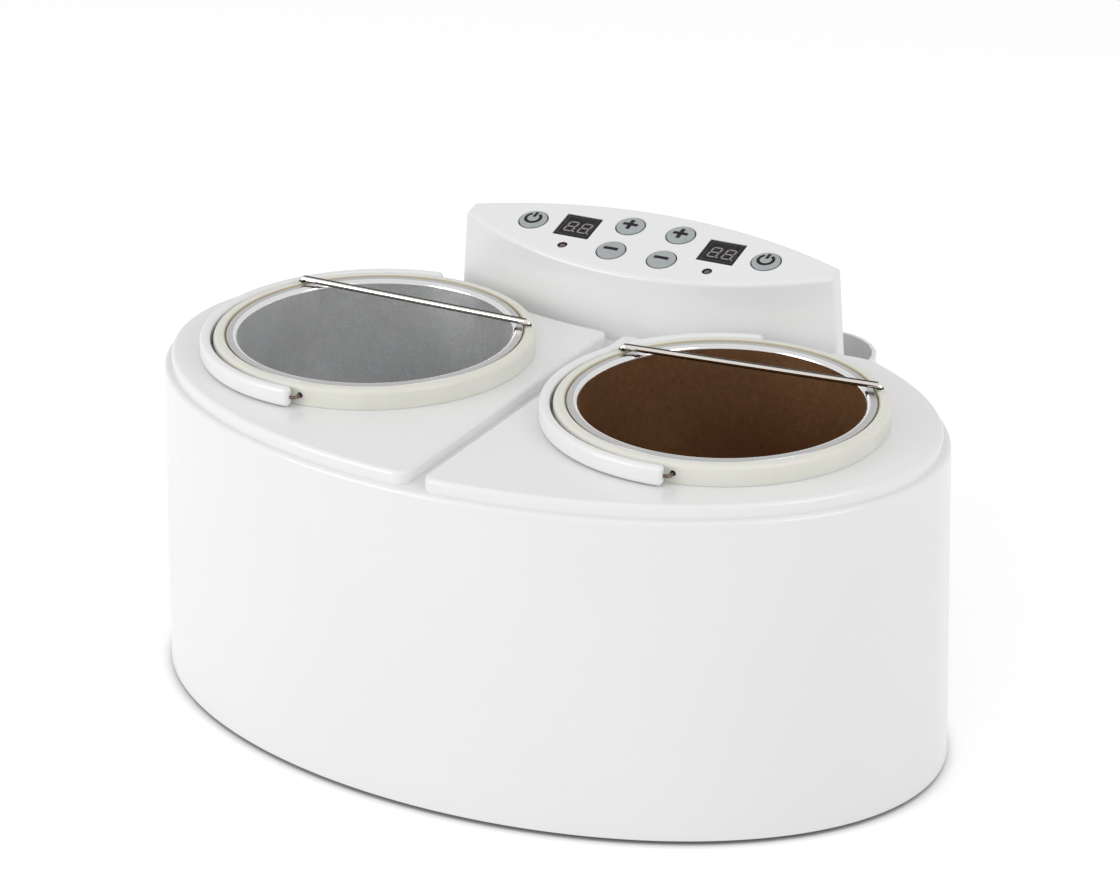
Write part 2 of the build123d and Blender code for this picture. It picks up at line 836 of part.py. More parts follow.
power_board_screws = screws(
    power_screw_places,
    Plane(parts_plane.origin, x_dir=(1, 0, 0), z_dir=(0, 0, -1)),
    board_thickness + board_standoff - screw_end_gap,
    small_screw_radius, small_head_radius, small_head_height)
finish(power_board_screws, "power_board_screws")

with BuildPart() as power_transformer:
    with BuildSketch(parts_plane):
        with Locations(transformer_place):
            Rectangle(core_length, core_width)
    extrude(amount=core_height)
    with BuildSketch(parts_plane.offset((core_height - coil_height) / 2)):
        with Locations(transformer_place):
            Rectangle(coil_length, coil_width)
    extrude(amount=coil_height)
finish(power_transformer, "power_transformer")

with BuildPart() as heater_relays:
    with BuildSketch(parts_plane):
        with Locations((relay_x, 0)):
            with GridLocations(0, relay_spacing, 1, 2):
                Rectangle(relay_length, relay_width)
    extrude(amount=relay_height)
finish(heater_relays, "heater_relays")

with BuildPart() as terminal_block:
    with BuildSketch(parts_plane):
        with Locations((terminal_x, 0)):
            Rectangle(terminal_depth, terminal_pitch * terminal_ways)
    extrude(amount=terminal_height)
    mouth = terminal_block.faces().sort_by(Axis.X)[-1]
    with BuildSketch(Plane(mouth)):
        with GridLocations(terminal_pitch, 0, terminal_ways, 1):
            Rectangle(terminal_hole, terminal_hole)
    extrude(amount=-terminal_depth / 2, mode=Mode.SUBTRACT)
finish(terminal_block, "terminal_block")

# Mains inlet with its three contacts
with BuildPart() as mains_inlet:
    with BuildSketch(back_plane(inlet_seat_y + inlet_flange, inlet_rise)):
        RectangleRounded(inlet_width, inlet_height, inlet_corner)
    extrude(amount=inlet_flange)
    with BuildSketch(back_plane(inlet_seat_y, inlet_rise)):
        Rectangle(socket_width + 2 * inlet_wall, socket_height + 2 * inlet_wall)
    extrude(amount=inlet_depth)
    with BuildSketch(back_plane(inlet_seat_y + inlet_flange, inlet_rise)) as socket:
        Rectangle(socket_width, socket_height)
        chamfer(socket.vertices().group_by(Axis.Y)[-1], socket_chamfer)
    extrude(amount=socket_depth, mode=Mode.SUBTRACT)
    with BuildSketch(back_plane(inlet_seat_y, inlet_rise)):
        with Locations(*contact_places):
            Rectangle(contact_width + 2 * pin_gap, contact_height + 2 * pin_gap)
    extrude(amount=inlet_depth, mode=Mode.SUBTRACT)
finish(mains_inlet, "mains_inlet")

with BuildPart() as inlet_contacts:
    with BuildSketch(back_plane(inlet_seat_y + inlet_flange - contact_recess, inlet_rise)):
        with Locations(*contact_places):
            Rectangle(contact_width, contact_height)
    extrude(amount=inlet_depth + inlet_flange - contact_recess + contact_tail)
finish(inlet_contacts, "inlet_contacts")


def box_outline(inset):
    """Plan of the rear box, drawn into the current sketch."""
    with Locations((0, box_back_y - box_outline_depth / 2)):
        RectangleRounded(
            2 * (box_half_length - inset), box_outline_depth - 2 * inset, box_corner - inset)


# Rear box: its front wall follows the shell, and a divider parts its two pockets
with BuildPart() as box_pockets:
    with BuildSketch(level(box_floor_z + box_wall)):
        box_outline(box_wall)
    extrude(amount=box_height)
    add(shell_form(box_gap + box_wall), mode=Mode.SUBTRACT)
    with BuildSketch(level(box_floor_z)):
        with Locations((divider_x, box_back_y)):
            Rectangle(box_wall, 2 * box_corner)
    extrude(amount=box_height, mode=Mode.SUBTRACT)
    with BuildSketch(level(box_floor_z)):
        with Locations((divider_x + box_half_length / 2, box_back_y)):
            Rectangle(box_half_length, 4 * box_corner)
    extrude(amount=spatula_floor_rise, mode=Mode.SUBTRACT)

with BuildPart() as strip_box:
    with BuildSketch(level(box_floor_z)):
        box_outline(0.0)
    extrude(amount=box_height)
    chamfer(strip_box.edges().group_by(Axis.Z)[-1], box_rim_bevel)
    add(box_pockets.part, mode=Mode.SUBTRACT)
    for x, rise in box_screw_places:
        with BuildSketch(back_plane(box_seat(x, rise), box_floor_z)):
            with Locations((x, rise)):
                Circle(box_boss_radius)
        extrude(amount=2 * box_wall)
    add(shell_form(box_gap), mode=Mode.SUBTRACT)
    for x, rise in box_screw_places:
        with BuildSketch(back_plane(box_seat(x, rise), box_floor_z)):
            with Locations((x, rise)):
                Circle(screw_radius + shank_gap)
        extrude(amount=2 * box_boss_depth, mode=Mode.SUBTRACT)
finish(strip_box, "strip_box")

boss_pilot_depth = box_boss_depth - box_boss_floor
with BuildPart() as box_screws:
    for x, rise in box_screw_places:
        add(screws(
            [(x, rise)], back_plane(box_seat(x, rise), box_floor_z),
            box_seat_rise + box_wall + box_gap + boss_pilot_depth - screw_end_gap,
            screw_radius, screw_head_radius, screw_head_height).part)
finish(box_screws, "box_screws")

# Wax pots, their collars, wiper bars and folding handles
for side in sides:
    frame = pot_frame(side)
    z_floor = z_lip - pot_depth
    z_ledge = z_lip - lip_thickness
    floor_radius = mouth_radius - pot_draft
    ledge_radius = collar_radius - collar_width
    bore_radius = ledge_radius - collar_ledge
    with BuildPart() as wax_pot:
        add(turned(frame, [
            (0, z_floor), (floor_radius - pot_floor_bevel, z_floor),
            (floor_radius, z_floor + pot_floor_bevel), (mouth_radius, z_lip),
            (lip_radius, z_lip), (lip_radius, z_ledge),
            (mouth_radius + pot_wall, z_ledge),
            (floor_radius + pot_wall, z_floor + pot_floor_bevel),
            (floor_radius - pot_floor_bevel, z_floor - pot_wall), (0, z_floor - pot_wall),
        ]))
    finish(wax_pot, f"{side}_wax_pot")

    # The collar's upper edge turns over in two short bevels
    skirt_radius = bore_radius + collar_skirt_wall
    turn_over = collar_round * (1 - sqrt(0.5))
    with BuildPart() as pot_collar:
        add(turned(frame, [
            (bore_radius, z_plate - collar_skirt), (skirt_radius, z_plate - collar_skirt),
            (skirt_radius, z_plate), (collar_radius, z_plate),
            (collar_radius, z_collar - collar_round),
            (collar_radius - turn_over, z_collar - turn_over),
            (collar_radius - collar_round, z_collar),
            (ledge_radius, z_collar), (ledge_radius, z_ledge), (bore_radius, z_ledge),
        ]))
        # Holes for the handle's pins and the bar's feet
        for end in (-1, 1):
            pin_start = frame.from_local_coords((0, end * collar_radius, z_hinge))
            with BuildSketch(Plane(pin_start, z_dir=frame.y_dir * -end)):
                Circle(pin_radius + pin_gap)
            extrude(amount=pin_in_collar + pin_gap, mode=Mode.SUBTRACT)
        with BuildSketch(pot_frame(side, z_collar, bar_twist)):
            with Locations((-bar_half_length, bar_offset), (bar_half_length, bar_offset)):
                Circle(bar_radius + pin_gap)
        extrude(amount=-bar_foot_depth - pin_gap, mode=Mode.SUBTRACT)
    finish(pot_collar, f"{side}_pot_collar")

    bar_height = z_collar + bar_lift
    with BuildPart() as wiper_bar:
        add(bent_rod(upright(pot_frame(side, twist=bar_twist), bar_offset), [
            (-bar_half_length, z_collar - bar_foot_depth), (-bar_half_length, bar_height),
            (bar_half_length, bar_height), (bar_half_length, z_collar - bar_foot_depth),
        ], bar_bend, bar_radius))
    finish(wiper_bar, f"{side}_wiper_bar")

    grip_start = 90 + grip_end_angle
    start_direction = (
        frame.x_dir * cos(radians(grip_start)) + frame.y_dir * sin(radians(grip_start)))
    pin_reach = grip_middle * sin(radians(grip_end_angle)) + pin_in_grip
    with BuildPart() as grip:
        with BuildSketch(Plane(
            frame.origin, x_dir=start_direction, z_dir=start_direction.cross(frame.z_dir))):
            with Locations((grip_middle, z_hinge)):
                section = Rectangle(handle_thickness, grip_height)
            chamfer(section.vertices(), grip_bevel)
        revolve(axis=Axis(frame.origin, frame.z_dir),
                revolution_arc=180 - 2 * grip_end_angle)
        for end in (-1, 1):
            hole_start = frame.from_local_coords((0, end * grip_middle, z_hinge))
            with BuildSketch(Plane(hole_start, z_dir=-frame.x_dir)):
                Circle(pin_radius + pin_gap)
            extrude(amount=pin_reach + pin_gap, mode=Mode.SUBTRACT)
    finish(grip, f"{side}_handle")

    with BuildPart() as handle_pins:
        pin_plane = Plane((0, 0, z_hinge) + frame.origin, x_dir=frame.x_dir, z_dir=(0, 0, 1))
        for end in (-1, 1):
            add(bent_rod(pin_plane, [
                (-pin_reach, end * grip_middle), (0, end * grip_middle),
                (0, end * (collar_radius - pin_in_collar)),
            ], pin_bend, pin_radius))
    finish(handle_pins, f"{side}_handle_pins")
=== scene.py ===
"""Finished surfaces for a double wax warmer, built round its CAD frame."""

import json
from math import ceil, cos, pi, radians, sin, sqrt, tan

import bmesh
import bpy
from bpy.props import FloatProperty, FloatVectorProperty, PointerProperty
from bpy.types import Operator, Panel, PropertyGroup
from mathutils import Matrix, Vector


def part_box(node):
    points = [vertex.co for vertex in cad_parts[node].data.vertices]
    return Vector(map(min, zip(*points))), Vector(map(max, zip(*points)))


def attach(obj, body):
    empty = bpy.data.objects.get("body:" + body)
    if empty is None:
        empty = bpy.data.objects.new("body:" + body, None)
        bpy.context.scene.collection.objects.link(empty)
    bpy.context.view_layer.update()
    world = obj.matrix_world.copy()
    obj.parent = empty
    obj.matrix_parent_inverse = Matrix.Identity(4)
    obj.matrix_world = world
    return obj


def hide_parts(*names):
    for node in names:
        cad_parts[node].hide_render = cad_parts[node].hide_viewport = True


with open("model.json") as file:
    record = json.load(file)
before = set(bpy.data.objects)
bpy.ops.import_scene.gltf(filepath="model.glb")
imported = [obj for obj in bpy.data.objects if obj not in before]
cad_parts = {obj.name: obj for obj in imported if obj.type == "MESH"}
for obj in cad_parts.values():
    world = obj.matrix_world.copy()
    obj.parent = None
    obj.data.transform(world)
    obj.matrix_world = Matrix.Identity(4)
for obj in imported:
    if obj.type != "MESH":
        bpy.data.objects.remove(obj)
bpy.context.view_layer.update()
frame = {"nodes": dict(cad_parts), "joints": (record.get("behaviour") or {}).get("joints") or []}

bl_info = {
    "name": "Double wax warmer",
    "version": (1, 0, 0),
    "blender": (4, 5, 0),
    "location": "View3D > Sidebar > Wax warmer",
    "description": "Builds the finished surfaces of a double wax warmer round its CAD frame",
    "category": "Object",
}

SIDES = {"left": -1, "right": 1}
UP = Vector((0, 0, 1))
ARC_STEP = radians(15)
SHARP_ANGLE = radians(32)
ROUND_STEPS = 160
SHELL_STEPS = 320
FINE_EDGE = 0.0004
THIN_EDGE = 0.0003
CUT_OVER = 0.001

# Heights and places read from the CAD frame
shell_low, shell_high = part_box("body_shell")
plate_low, plate_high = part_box("left_top_plate")
collar_low, collar_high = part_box("left_pot_collar")
pot_low, pot_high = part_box("left_wax_pot")
box_low, box_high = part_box("strip_box")
console_low, console_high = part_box("console_housing")
shell_y = (shell_low.y + shell_high.y) / 2
half_length = (shell_high.x - shell_low.x) / 2
half_depth = (shell_high.y - shell_low.y) / 2
shell_height = shell_high.z - shell_low.z
console_y = (console_low.y + console_high.y) / 2
collar_radius = (collar_high.x - collar_low.x) / 2
lip_radius = (pot_high.x - pot_low.x) / 2
hinges = {
    joint["child"]: joint for joint in frame["joints"] if joint["type"] == "hinge"
}

# Sizes in metres, angles in radians
WALL_LEAN = 0.00375
SHELL_WALL = 0.0028
DECK_WALL = 0.003
DECK_OPENING = 0.0703
DECK_BAND = 0.012
PLATE_INSET = 0.0036
PLATE_WALL = 0.0024
PLATE_OPENING = 0.068
PLATE_SEAT = 0.0702
PLATE_LEDGE = 0.0015
PLATE_CORNERS = (0.014, 0.0035, 0.006)
CHANNEL = 0.008
INLET_FLANGE = (0.0159, 0.0124, 0.0029)
INLET_FLANGE_DEPTH = 0.0022
INLET_OPENING = (0.0142, 0.0102, 0.0004)
INLET_DEPTH = 0.02
CONSOLE_GAP = 0.0048
CONSOLE_FRONT_RADIUS = 0.206
CONSOLE_BACK_RADIUS = 0.2875
CONSOLE_LEAN = 0.0009
CONSOLE_END_LEAN = 0.004
CONSOLE_LEAN_HEIGHT = 0.048
CONSOLE_HEIGHT = 0.04096
CONSOLE_TILT = radians(15.5)
CONSOLE_WALL = 0.0025
CONSOLE_CORNER = 0.0024
BUTTON_RADIUS = 0.0071
BUTTON_GAP = 0.0004
BUTTON_RISE = 0.0009
BUTTON_EASE = 0.0003
BUTTON_FLANGE = 0.0081
BUTTON_FLANGE_TOP = -0.0026
BUTTON_FLANGE_LOW = -0.0034
BUTTON_STEM = 0.0015
BUTTON_STEM_LOW = -0.0073
MARK_SHIFT = (-0.0003, 0.0006, 0.0)
MARK_HALF_STROKE = 0.00105
MINUS_REACH = 0.0038
PLUS_REACH = 0.0039
INK = 0.00004
DISPLAY_SIZE = (0.0192, 0.0175)
DISPLAY_CORNER = 0.0005
DISPLAY_GAP = 0.00025
DISPLAY_PLACE = (0.0383, 0.00335)
DISPLAY_SINK = 0.0002
DISPLAY_FRAME_INSET = 0.0014
DISPLAY_FRAME_WIDTH = 0.00035
DIGIT_RISE = 0.00006
DIGIT_PLACES = ((-0.0032, -0.0006), (0.0042, -0.0006))
LAMP_RADIUS = 0.0025
LAMP_GAP = 0.0001
LAMP_LENS = 0.00165
LAMP_DOME = 0.0007
LAMP_PLACE = (0.0384, -0.01265)
PART_DEPTH = 0.0105
BUTTON_PLACES = {
    "power": (0.0620, 0.00225),
    "plus": (0.0134, 0.01055),
    "minus": (0.0134, -0.01035),
}
COLLAR_WIDTH = 0.0055
COLLAR_LEDGE = 0.0039
COLLAR_SKIRT_WALL = 0.0016
COLLAR_INNER_ROUND = 0.0011
LIP_THICKNESS = 0.0014
LIP_EDGE = 0.0005
MOUTH_RADIUS = 0.0638
POT_WALL = 0.0012
POT_DRAFT = 0.0023
POT_CORNER = 0.0075
BAR_RADIUS = 0.0016
BAR_BEND = 0.0022
BAR_HOLE_GAP = 0.0001
BAR_OFFSET = 0.0353
BAR_HALF_LENGTH = 0.0622
BAR_LIFT = 0.0022
BAR_FOOT = 0.004
BAR_TWIST = radians(-4.5)
GRIP_THICKNESS = 0.005
GRIP_GAP = 0.0013
GRIP_HEIGHT = 0.009
GRIP_END = radians(2.2)
GRIP_END_ROUND = 0.0021
PIN_RADIUS = 0.001
PIN_WEAR = 0.0002
PIN_BEND = 0.002
PIN_HOLE_GAP = 0.0004
PIN_IN_GRIP = 0.0046
PIN_IN_COLLAR = 0.0036
BOX_HALF_LENGTH = 0.1086
BOX_OUTLINE_DEPTH = 0.0895
BOX_CORNER = 0.03
BOX_WALL = 0.0022
BOX_GAP = 0.0003
BOX_FOOT_ROUND = 0.0008
POCKET_CORNER = 0.003
POCKET_FLOOR_ROUND = 0.002
BOX_SEAT_RADIUS = 0.0046
BOX_SEAT_RISE = 0.0008
BOX_SCREW_PLACES = ((-0.060, 0.020), (0.010, 0.020), (-0.060, 0.052), (0.060, 0.052))
DIVIDER_X = 0.028
SMALL_POCKET_FLOOR = 0.028

# The stage, in metres
CAMERA_PLACE = (0.7392, -1.3522, 0.79173)
KEY_PLACE = (-1.25, -1.55, 0.7)
KEY_SIZE = 1.3
FILL_PLACE = (1.6, -0.5, 1.2)
FILL_SIZE = 1.2
LAMP_AIM = Vector((0, 0, 0.1))
FLOOR_RADIUS = 6.0
FLOOR_SHADE = 0.8
FLOOR_GLOW = 0.2
# Painted shade on the floor near and under the object: its reach and its ramp.
CONTACT_SHADE_REACH = 0.012
CONTACT_SHADE_STOPS = ((0.12, 0.22), (0.7, 0.97))


def size(name, description, default):
    """A length that a user can set."""
    return FloatProperty(
        name=name, description=description, default=default, min=0.0, unit="LENGTH", precision=4)


def colour(name, description, default):
    """A colour that a user can set."""
    return FloatVectorProperty(
        name=name, description=description, default=default, size=3, min=0.0, max=1.0,
        subtype="COLOR")


def bearing(name, description, degrees):
    """An angle that a user can set."""
    return FloatProperty(
        name=name, description=description, default=radians(degrees), subtype="ANGLE",
        unit="ROTATION")


class WarmerShape(PropertyGroup):
    """Roundings and small forms of the finished surfaces."""

    rim_round: size("Rim", "Rounding of the shell's upper edge", 0.0019)
    foot_round: size("Foot", "Rounding of the shell's lower edge", 0.0007)
    plate_round: size("Top plates", "Rounding of the top plates' upper edge", 0.0021)
    console_round: size("Console", "Rounding round the console's face", 0.0023)
    collar_round: size("Collars", "Rounding of the collars' outer edge", 0.0024)
    lip_round: size("Pot lips", "Rounding where a pot's lip turns down", 0.0021)
    grip_round: size("Handles", "Rounding along the handles", 0.0019)
    box_round: size("Rear box", "Rounding of the rear box's rim", 0.0008)
    button_dome: size("Button dome", "Rise of a button from its edge to its middle", 0.0005)
    digit_height: size("Digits", "Height of the display's digits", 0.0074)


class WarmerFinish(PropertyGroup):
    """Colours of the finished surfaces."""

    white: colour("White", "Glossy white mouldings", (0.83, 0.83, 0.833))
    ivory: colour("Ivory", "Collars of the wax pots", (0.73, 0.73, 0.665))
    # Painted light on the pots' lips: the aluminium is set darker as painted shade, and the lip's
    # edge lighter as a painted highlight.
    aluminium: colour("Aluminium", "Spun metal of the wax pots", (0.62, 0.62, 0.62))
    edge: colour("Lip's edge", "Polished inner edge of the pots' lips", (0.95, 0.95, 0.95))
    coating: colour("Coating", "Non-stick lining of the wax pots", (0.67, 0.675, 0.68))
    amber: colour("Amber lining", "Lining of the right wax pot, stained by use", (0.31, 0.165, 0.08))
    button: colour("Buttons", "Satin grey buttons", (0.38, 0.41, 0.42))
    mark: colour("Marks", "Printed marks on the buttons", (0.022, 0.018, 0.016))
    window: colour("Windows", "Smoked windows of the displays", (0.010, 0.009, 0.010))
    bezel: colour("Window frames", "Printed frames inside the windows", (0.06, 0.055, 0.055))
    digit: colour("Digits", "Unlit segments of the displays", (0.27, 0.25, 0.24))
    lamp: colour("Lamps", "Unlit status lamps", (0.10, 0.045, 0.045))


class WarmerStage(PropertyGroup):
    """Lights, floor and camera."""

    key_power: FloatProperty(
        name="Key light", description="Power of the large lamp at the front left", default=13.5,
        min=0.0, unit="POWER")
    fill_power: FloatProperty(
        name="Fill light", description="Power of the lamp at the right", default=8.0, min=0.0,
        unit="POWER")
    sky: FloatProperty(
        name="Room light", description="Strength of the even light from all round",
        default=0.92, min=0.0)
    lens: FloatProperty(
        name="Lens", description="Focal length of the camera in millimetres", default=116.84,
        min=1.0)
    camera_heading: bearing("Heading", "Turn of the camera round the object", 28.6357)
    camera_fall: bearing("Fall", "Angle at which the camera looks down", 23.2880)
    camera_roll: bearing("Roll", "Turn of the camera about its own line of sight", -0.3040)


# Points and outlines

def rounded(corners, closed=True):
    """Points along corners given as across, up and radius, with each corner rounded."""
    points = []
    for index, (across, up, radius) in enumerate(corners):
        here = Vector((across, up))
        if radius == 0 or (not closed and index in (0, len(corners) - 1)):
            points.append(here)
            continue
        back = (Vector(corners[index - 1][:2]) - here).normalized()
        ahead = (Vector(corners[(index + 1) % len(corners)][:2]) - here).normalized()
        half = back.angle(ahead) / 2
        turn = pi - 2 * half
        middle = here + (back + ahead).normalized() * radius / sin(half)
        start = here + back * radius / tan(half) - middle
        end = here + ahead * radius / tan(half) - middle
        steps = max(2, ceil(turn / ARC_STEP))
        for step in range(steps + 1):
            part = step / steps
            points.append(middle + (
                start * sin((1 - part) * turn) + end * sin(part * turn)) / sin(turn))
    return points


def circle(radius, steps=ROUND_STEPS):
    """Points round a circle."""
    return [
        Vector((radius * cos(2 * pi * step / steps), radius * sin(2 * pi * step / steps)))
        for step in range(steps)
    ]


def arc(middle, radius, start, end, steps):
    """Points along an arc from one angle to another, both ends included."""
    return [
        middle + radius * Vector((cos(angle), sin(angle)))
        for angle in (start + (end - start) * step / steps for step in range(steps + 1))
    ]


def box_outline(half_width, half_height, corner):
    """Outline of a rectangle with rounded corners."""
    return rounded([
        (-half_width, -half_height, corner), (half_width, -half_height, corner),
        (half_width, half_height, corner), (-half_width, half_height, corner),
    ])


def cut_back(curve, reach):
    """A curve without a first stretch of the given length."""
    points = list(curve)
    while (points[1] - points[0]).length < reach:
        reach -= (points[1] - points[0]).length
        points.pop(0)
    points[0] = points[0].lerp(points[1], reach / (points[1] - points[0]).length)
    return points


def respaced(curve, count):
    """The same curve with a set number of evenly spaced points."""
    lengths = [0.0]
    for first, second in zip(curve, curve[1:]):
        lengths.append(lengths[-1] + (second - first).length)
    points = []
    index = 0
    for step in range(count):
        target = lengths[-1] * step / (count - 1)
        while index < len(curve) - 2 and lengths[index + 1] < target:
            index += 1
        part = (target - lengths[index]) / (lengths[index + 1] - lengths[index])
        points.append(curve[index].lerp(curve[index + 1], min(1.0, part)))
    return points


def joined_outline(curves, radii, counts, corner_steps=8):
    """One outline from curves that meet end to end, with their meetings rounded."""
    reaches = []
    for curve, following, radius in zip(curves, curves[1:] + curves[:1], radii):
        back = (curve[-2] - curve[-1]).normalized()
        ahead = (following[1] - following[0]).normalized()
        reaches.append(radius / tan(back.angle(ahead) / 2))
    trimmed = []
    for index, curve in enumerate(curves):
        middle = cut_back(curve, reaches[index - 1])
        middle = cut_back(middle[::-1], reaches[index])[::-1]
        trimmed.append(respaced(middle, counts[index]))
    outline = []
    for curve, following, radius in zip(trimmed, trimmed[1:] + trimmed[:1], radii):
        outline.extend(curve)
        ahead = (curve[-1] - curve[-2]).normalized()
        behind = (following[0] - following[1]).normalized()
        turn = pi - ahead.angle(behind)
        pull = 4 / 3 * tan(turn / 4) * radius
        handles = (curve[-1], curve[-1] + ahead * pull, following[0] + behind * pull, following[0])
        for step in range(1, corner_steps):
            outline.append(bezier_point(handles, step / corner_steps))
    return outline


def bezier_point(handles, part):
    """A point on a cubic curve given by its two ends and two handles."""
    rest = 1 - part
    weights = (rest ** 3, 3 * rest ** 2 * part, 3 * rest * part ** 2, part ** 3)
    return sum((handle * weight for handle, weight in zip(handles, weights)), Vector((0, 0)))


def shrunk(outline, inset):
    """A closed anticlockwise outline moved inwards."""
    moved = []
    for index, point in enumerate(outline):
        ahead = outline[(index + 1) % len(outline)] - outline[index - 1]
        moved.append(point + Vector((-ahead.y, ahead.x)).normalized() * inset)
    return moved


def flat(outline, height):
    """Points of a plan lifted to a height."""
    return [Vector((point.x, point.y, height)) for point in outline]


# Meshes

class Skin:
    """Collects loops of points and the faces between them."""

    def __init__(self):
        self.points = []
        self.faces = []

    def loop(self, points):
        """Adds a loop of points and returns their numbers."""
        start = len(self.points)
        self.points.extend(points)
        return list(range(start, len(self.points)))

    def cap(self, loop):
        """Closes a loop with one flat face."""
        self.faces.append(list(loop))

    def join(self, first, second):
        """Joins two loops that have the same number of points, or one of them a single one."""
        count = max(len(first), len(second))
        for step in range(count):
            corners = (
                first[step % len(first)], first[(step + 1) % len(first)],
                second[(step + 1) % len(second)], second[step % len(second)])
            self.faces.append(list(dict.fromkeys(corners)))

    def stack(self, loops, closed=False):
        """Joins loops one after another, and the last to the first if closed."""
        for first, second in zip(loops, loops[1:]):
            self.join(first, second)
        if closed:
            self.join(loops[-1], loops[0])

    def solid(self, loops):
        """Joins loops one after another and closes both ends."""
        self.cap(loops[0])
        self.cap(loops[-1])
        self.stack(loops)

    def turned(self, place, profile, closed=False, steps=ROUND_STEPS):
        """Turns a profile of radius and height round a place's upright axis."""
        loops = []
        for radius, height in profile:
            if radius < 1e-7:
                loops.append(self.loop([place @ Vector((0, 0, height))]))
            else:
                loops.append(self.loop([
                    place @ point for point in flat(circle(radius, steps), height)]))
        self.stack(loops, closed)

    def prism(self, place, outline, low, high):
        """A straight block on an outline."""
        bottom = self.loop([place @ point for point in flat(outline, low)])
        top = self.loop([place @ point for point in flat(outline, high)])
        self.solid([bottom, top])

    def tube(self, path, across, radius, steps=28):
        """A round rod along a path that lies in the plane across a direction."""
        loops = []
        for index, point in enumerate(path):
            ahead = path[min(index + 1, len(path) - 1)] - path[max(index - 1, 0)]
            side = across.cross(ahead).normalized()
            loops.append(self.loop([
                point + side * turn.x + across * turn.y for turn in circle(radius, steps)]))
        self.solid(loops)

    def as_object(self, name):
        """A mesh object with its faces turned outwards."""
        mesh = bpy.data.meshes.new(name)
        mesh.from_pydata([tuple(point) for point in self.points], [], self.faces)
        made = bpy.data.objects.new(name, mesh)
        bpy.context.scene.collection.objects.link(made)
        turn_outwards(mesh)
        return made


def turn_outwards(mesh):
    """Turns all faces of a mesh outwards."""
    solid = bmesh.new()
    solid.from_mesh(mesh)
    bmesh.ops.recalc_face_normals(solid, faces=solid.faces)
    solid.to_mesh(mesh)
    solid.free()


def combine(target, others, operation="DIFFERENCE"):
    """Cuts other meshes out of a mesh object, or adds them to it, and removes them."""
    for other in others:
        change = target.modifiers.new("combine", "BOOLEAN")
        change.operation = operation
        change.solver = "EXACT"
        change.object = other
    view = bpy.context.evaluated_depsgraph_get()
    view.update()
    result = bpy.data.meshes.new_from_object(target.evaluated_get(view))
    target.modifiers.clear()
    target.data = result
    for other in others:
        bpy.data.objects.remove(other)
    return target


def cutter(place, outline, low, high):
    """A straight block to cut with."""
    skin = Skin()
    skin.prism(place, outline, low, high)
    return skin.as_object("cutter")


def smooth(piece):
    """Shades a piece smoothly, apart from its sharp edges, and keeps its flats flat."""
    mesh = piece.data
    mesh.shade_smooth()
    mesh.set_sharp_from_angle(angle=SHARP_ANGLE)
    shading = piece.modifiers.new("flats", "WEIGHTED_NORMAL")
    shading.keep_sharp = True
    shading.weight = 80


def finish_piece(piece, body, finishes, stands_for=()):
    """Gives a piece its finishes and its shading, and ties it to the CAD frame."""
    for finish in finishes:
        piece.data.materials.append(finish)
    smooth(piece)
    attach(piece, body)
    if stands_for:
        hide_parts(*stands_for)


# Places

def pot_place(side, height=0.0, twist=0.0):
    """Frame of one pot: X points away from the grip and Y lies along the hinge."""
    hinge = hinges[f"{side}_handle"]
    along = Vector(hinge["axis"])
    across = along.cross(UP)
    place = Matrix((across, along, UP)).transposed().to_4x4()
    place.translation = Vector((hinge["pos_m"][0], hinge["pos_m"][1], height))
    return place @ Matrix.Rotation(twist, 4, "Z")


def hinge_height(side):
    """Height of a handle's hinge line."""
    return hinges[f"{side}_handle"]["pos_m"][2]


def facing_back(x, y, z):
    """Frame at a place, with Z out to the back."""
    return Matrix.Translation((x, y, z)) @ Matrix.Rotation(-pi / 2, 4, "X")


def face_place(x=0.0, y=0.0, rise=0.0):
    """Frame on the console's tilted face, with Z out of the face."""
    place = Matrix.Rotation(CONSOLE_TILT, 4, "X")
    place.translation = Vector((0, console_y, shell_high.z + CONSOLE_HEIGHT))
    return place @ Matrix.Translation((x, y, rise))


def oval(inset, height, steps=SHELL_STEPS):
    """A loop of the shell's oval plan."""
    return [
        Vector((
            (half_length - inset) * cos(2 * pi * step / steps),
            shell_y + (half_depth - inset) * sin(2 * pi * step / steps), height))
        for step in range(steps)
    ]


def shell_block(growth):
    """The shell's solid form, grown or shrunk, a little taller than the shell."""
    skin = Skin()
    over = 0.1
    rim_inset = WALL_LEAN * (1 + over)
    foot_inset = -WALL_LEAN * over
    foot = skin.loop(oval(foot_inset - growth, shell_low.z - over * shell_height))
    rim = skin.loop(oval(rim_inset - growth, shell_high.z + over * shell_height))
    skin.solid([foot, rim])
    return skin.as_object("shell_block")


# Finishes

def add_node(nodes, kind, **values):
    """Adds a shader node and sets plain values on its sockets."""
    node = nodes.new(f"ShaderNode{kind}")
    for name, value in values.items():
        node.inputs[name.replace("_", " ")].default_value = value
    return node


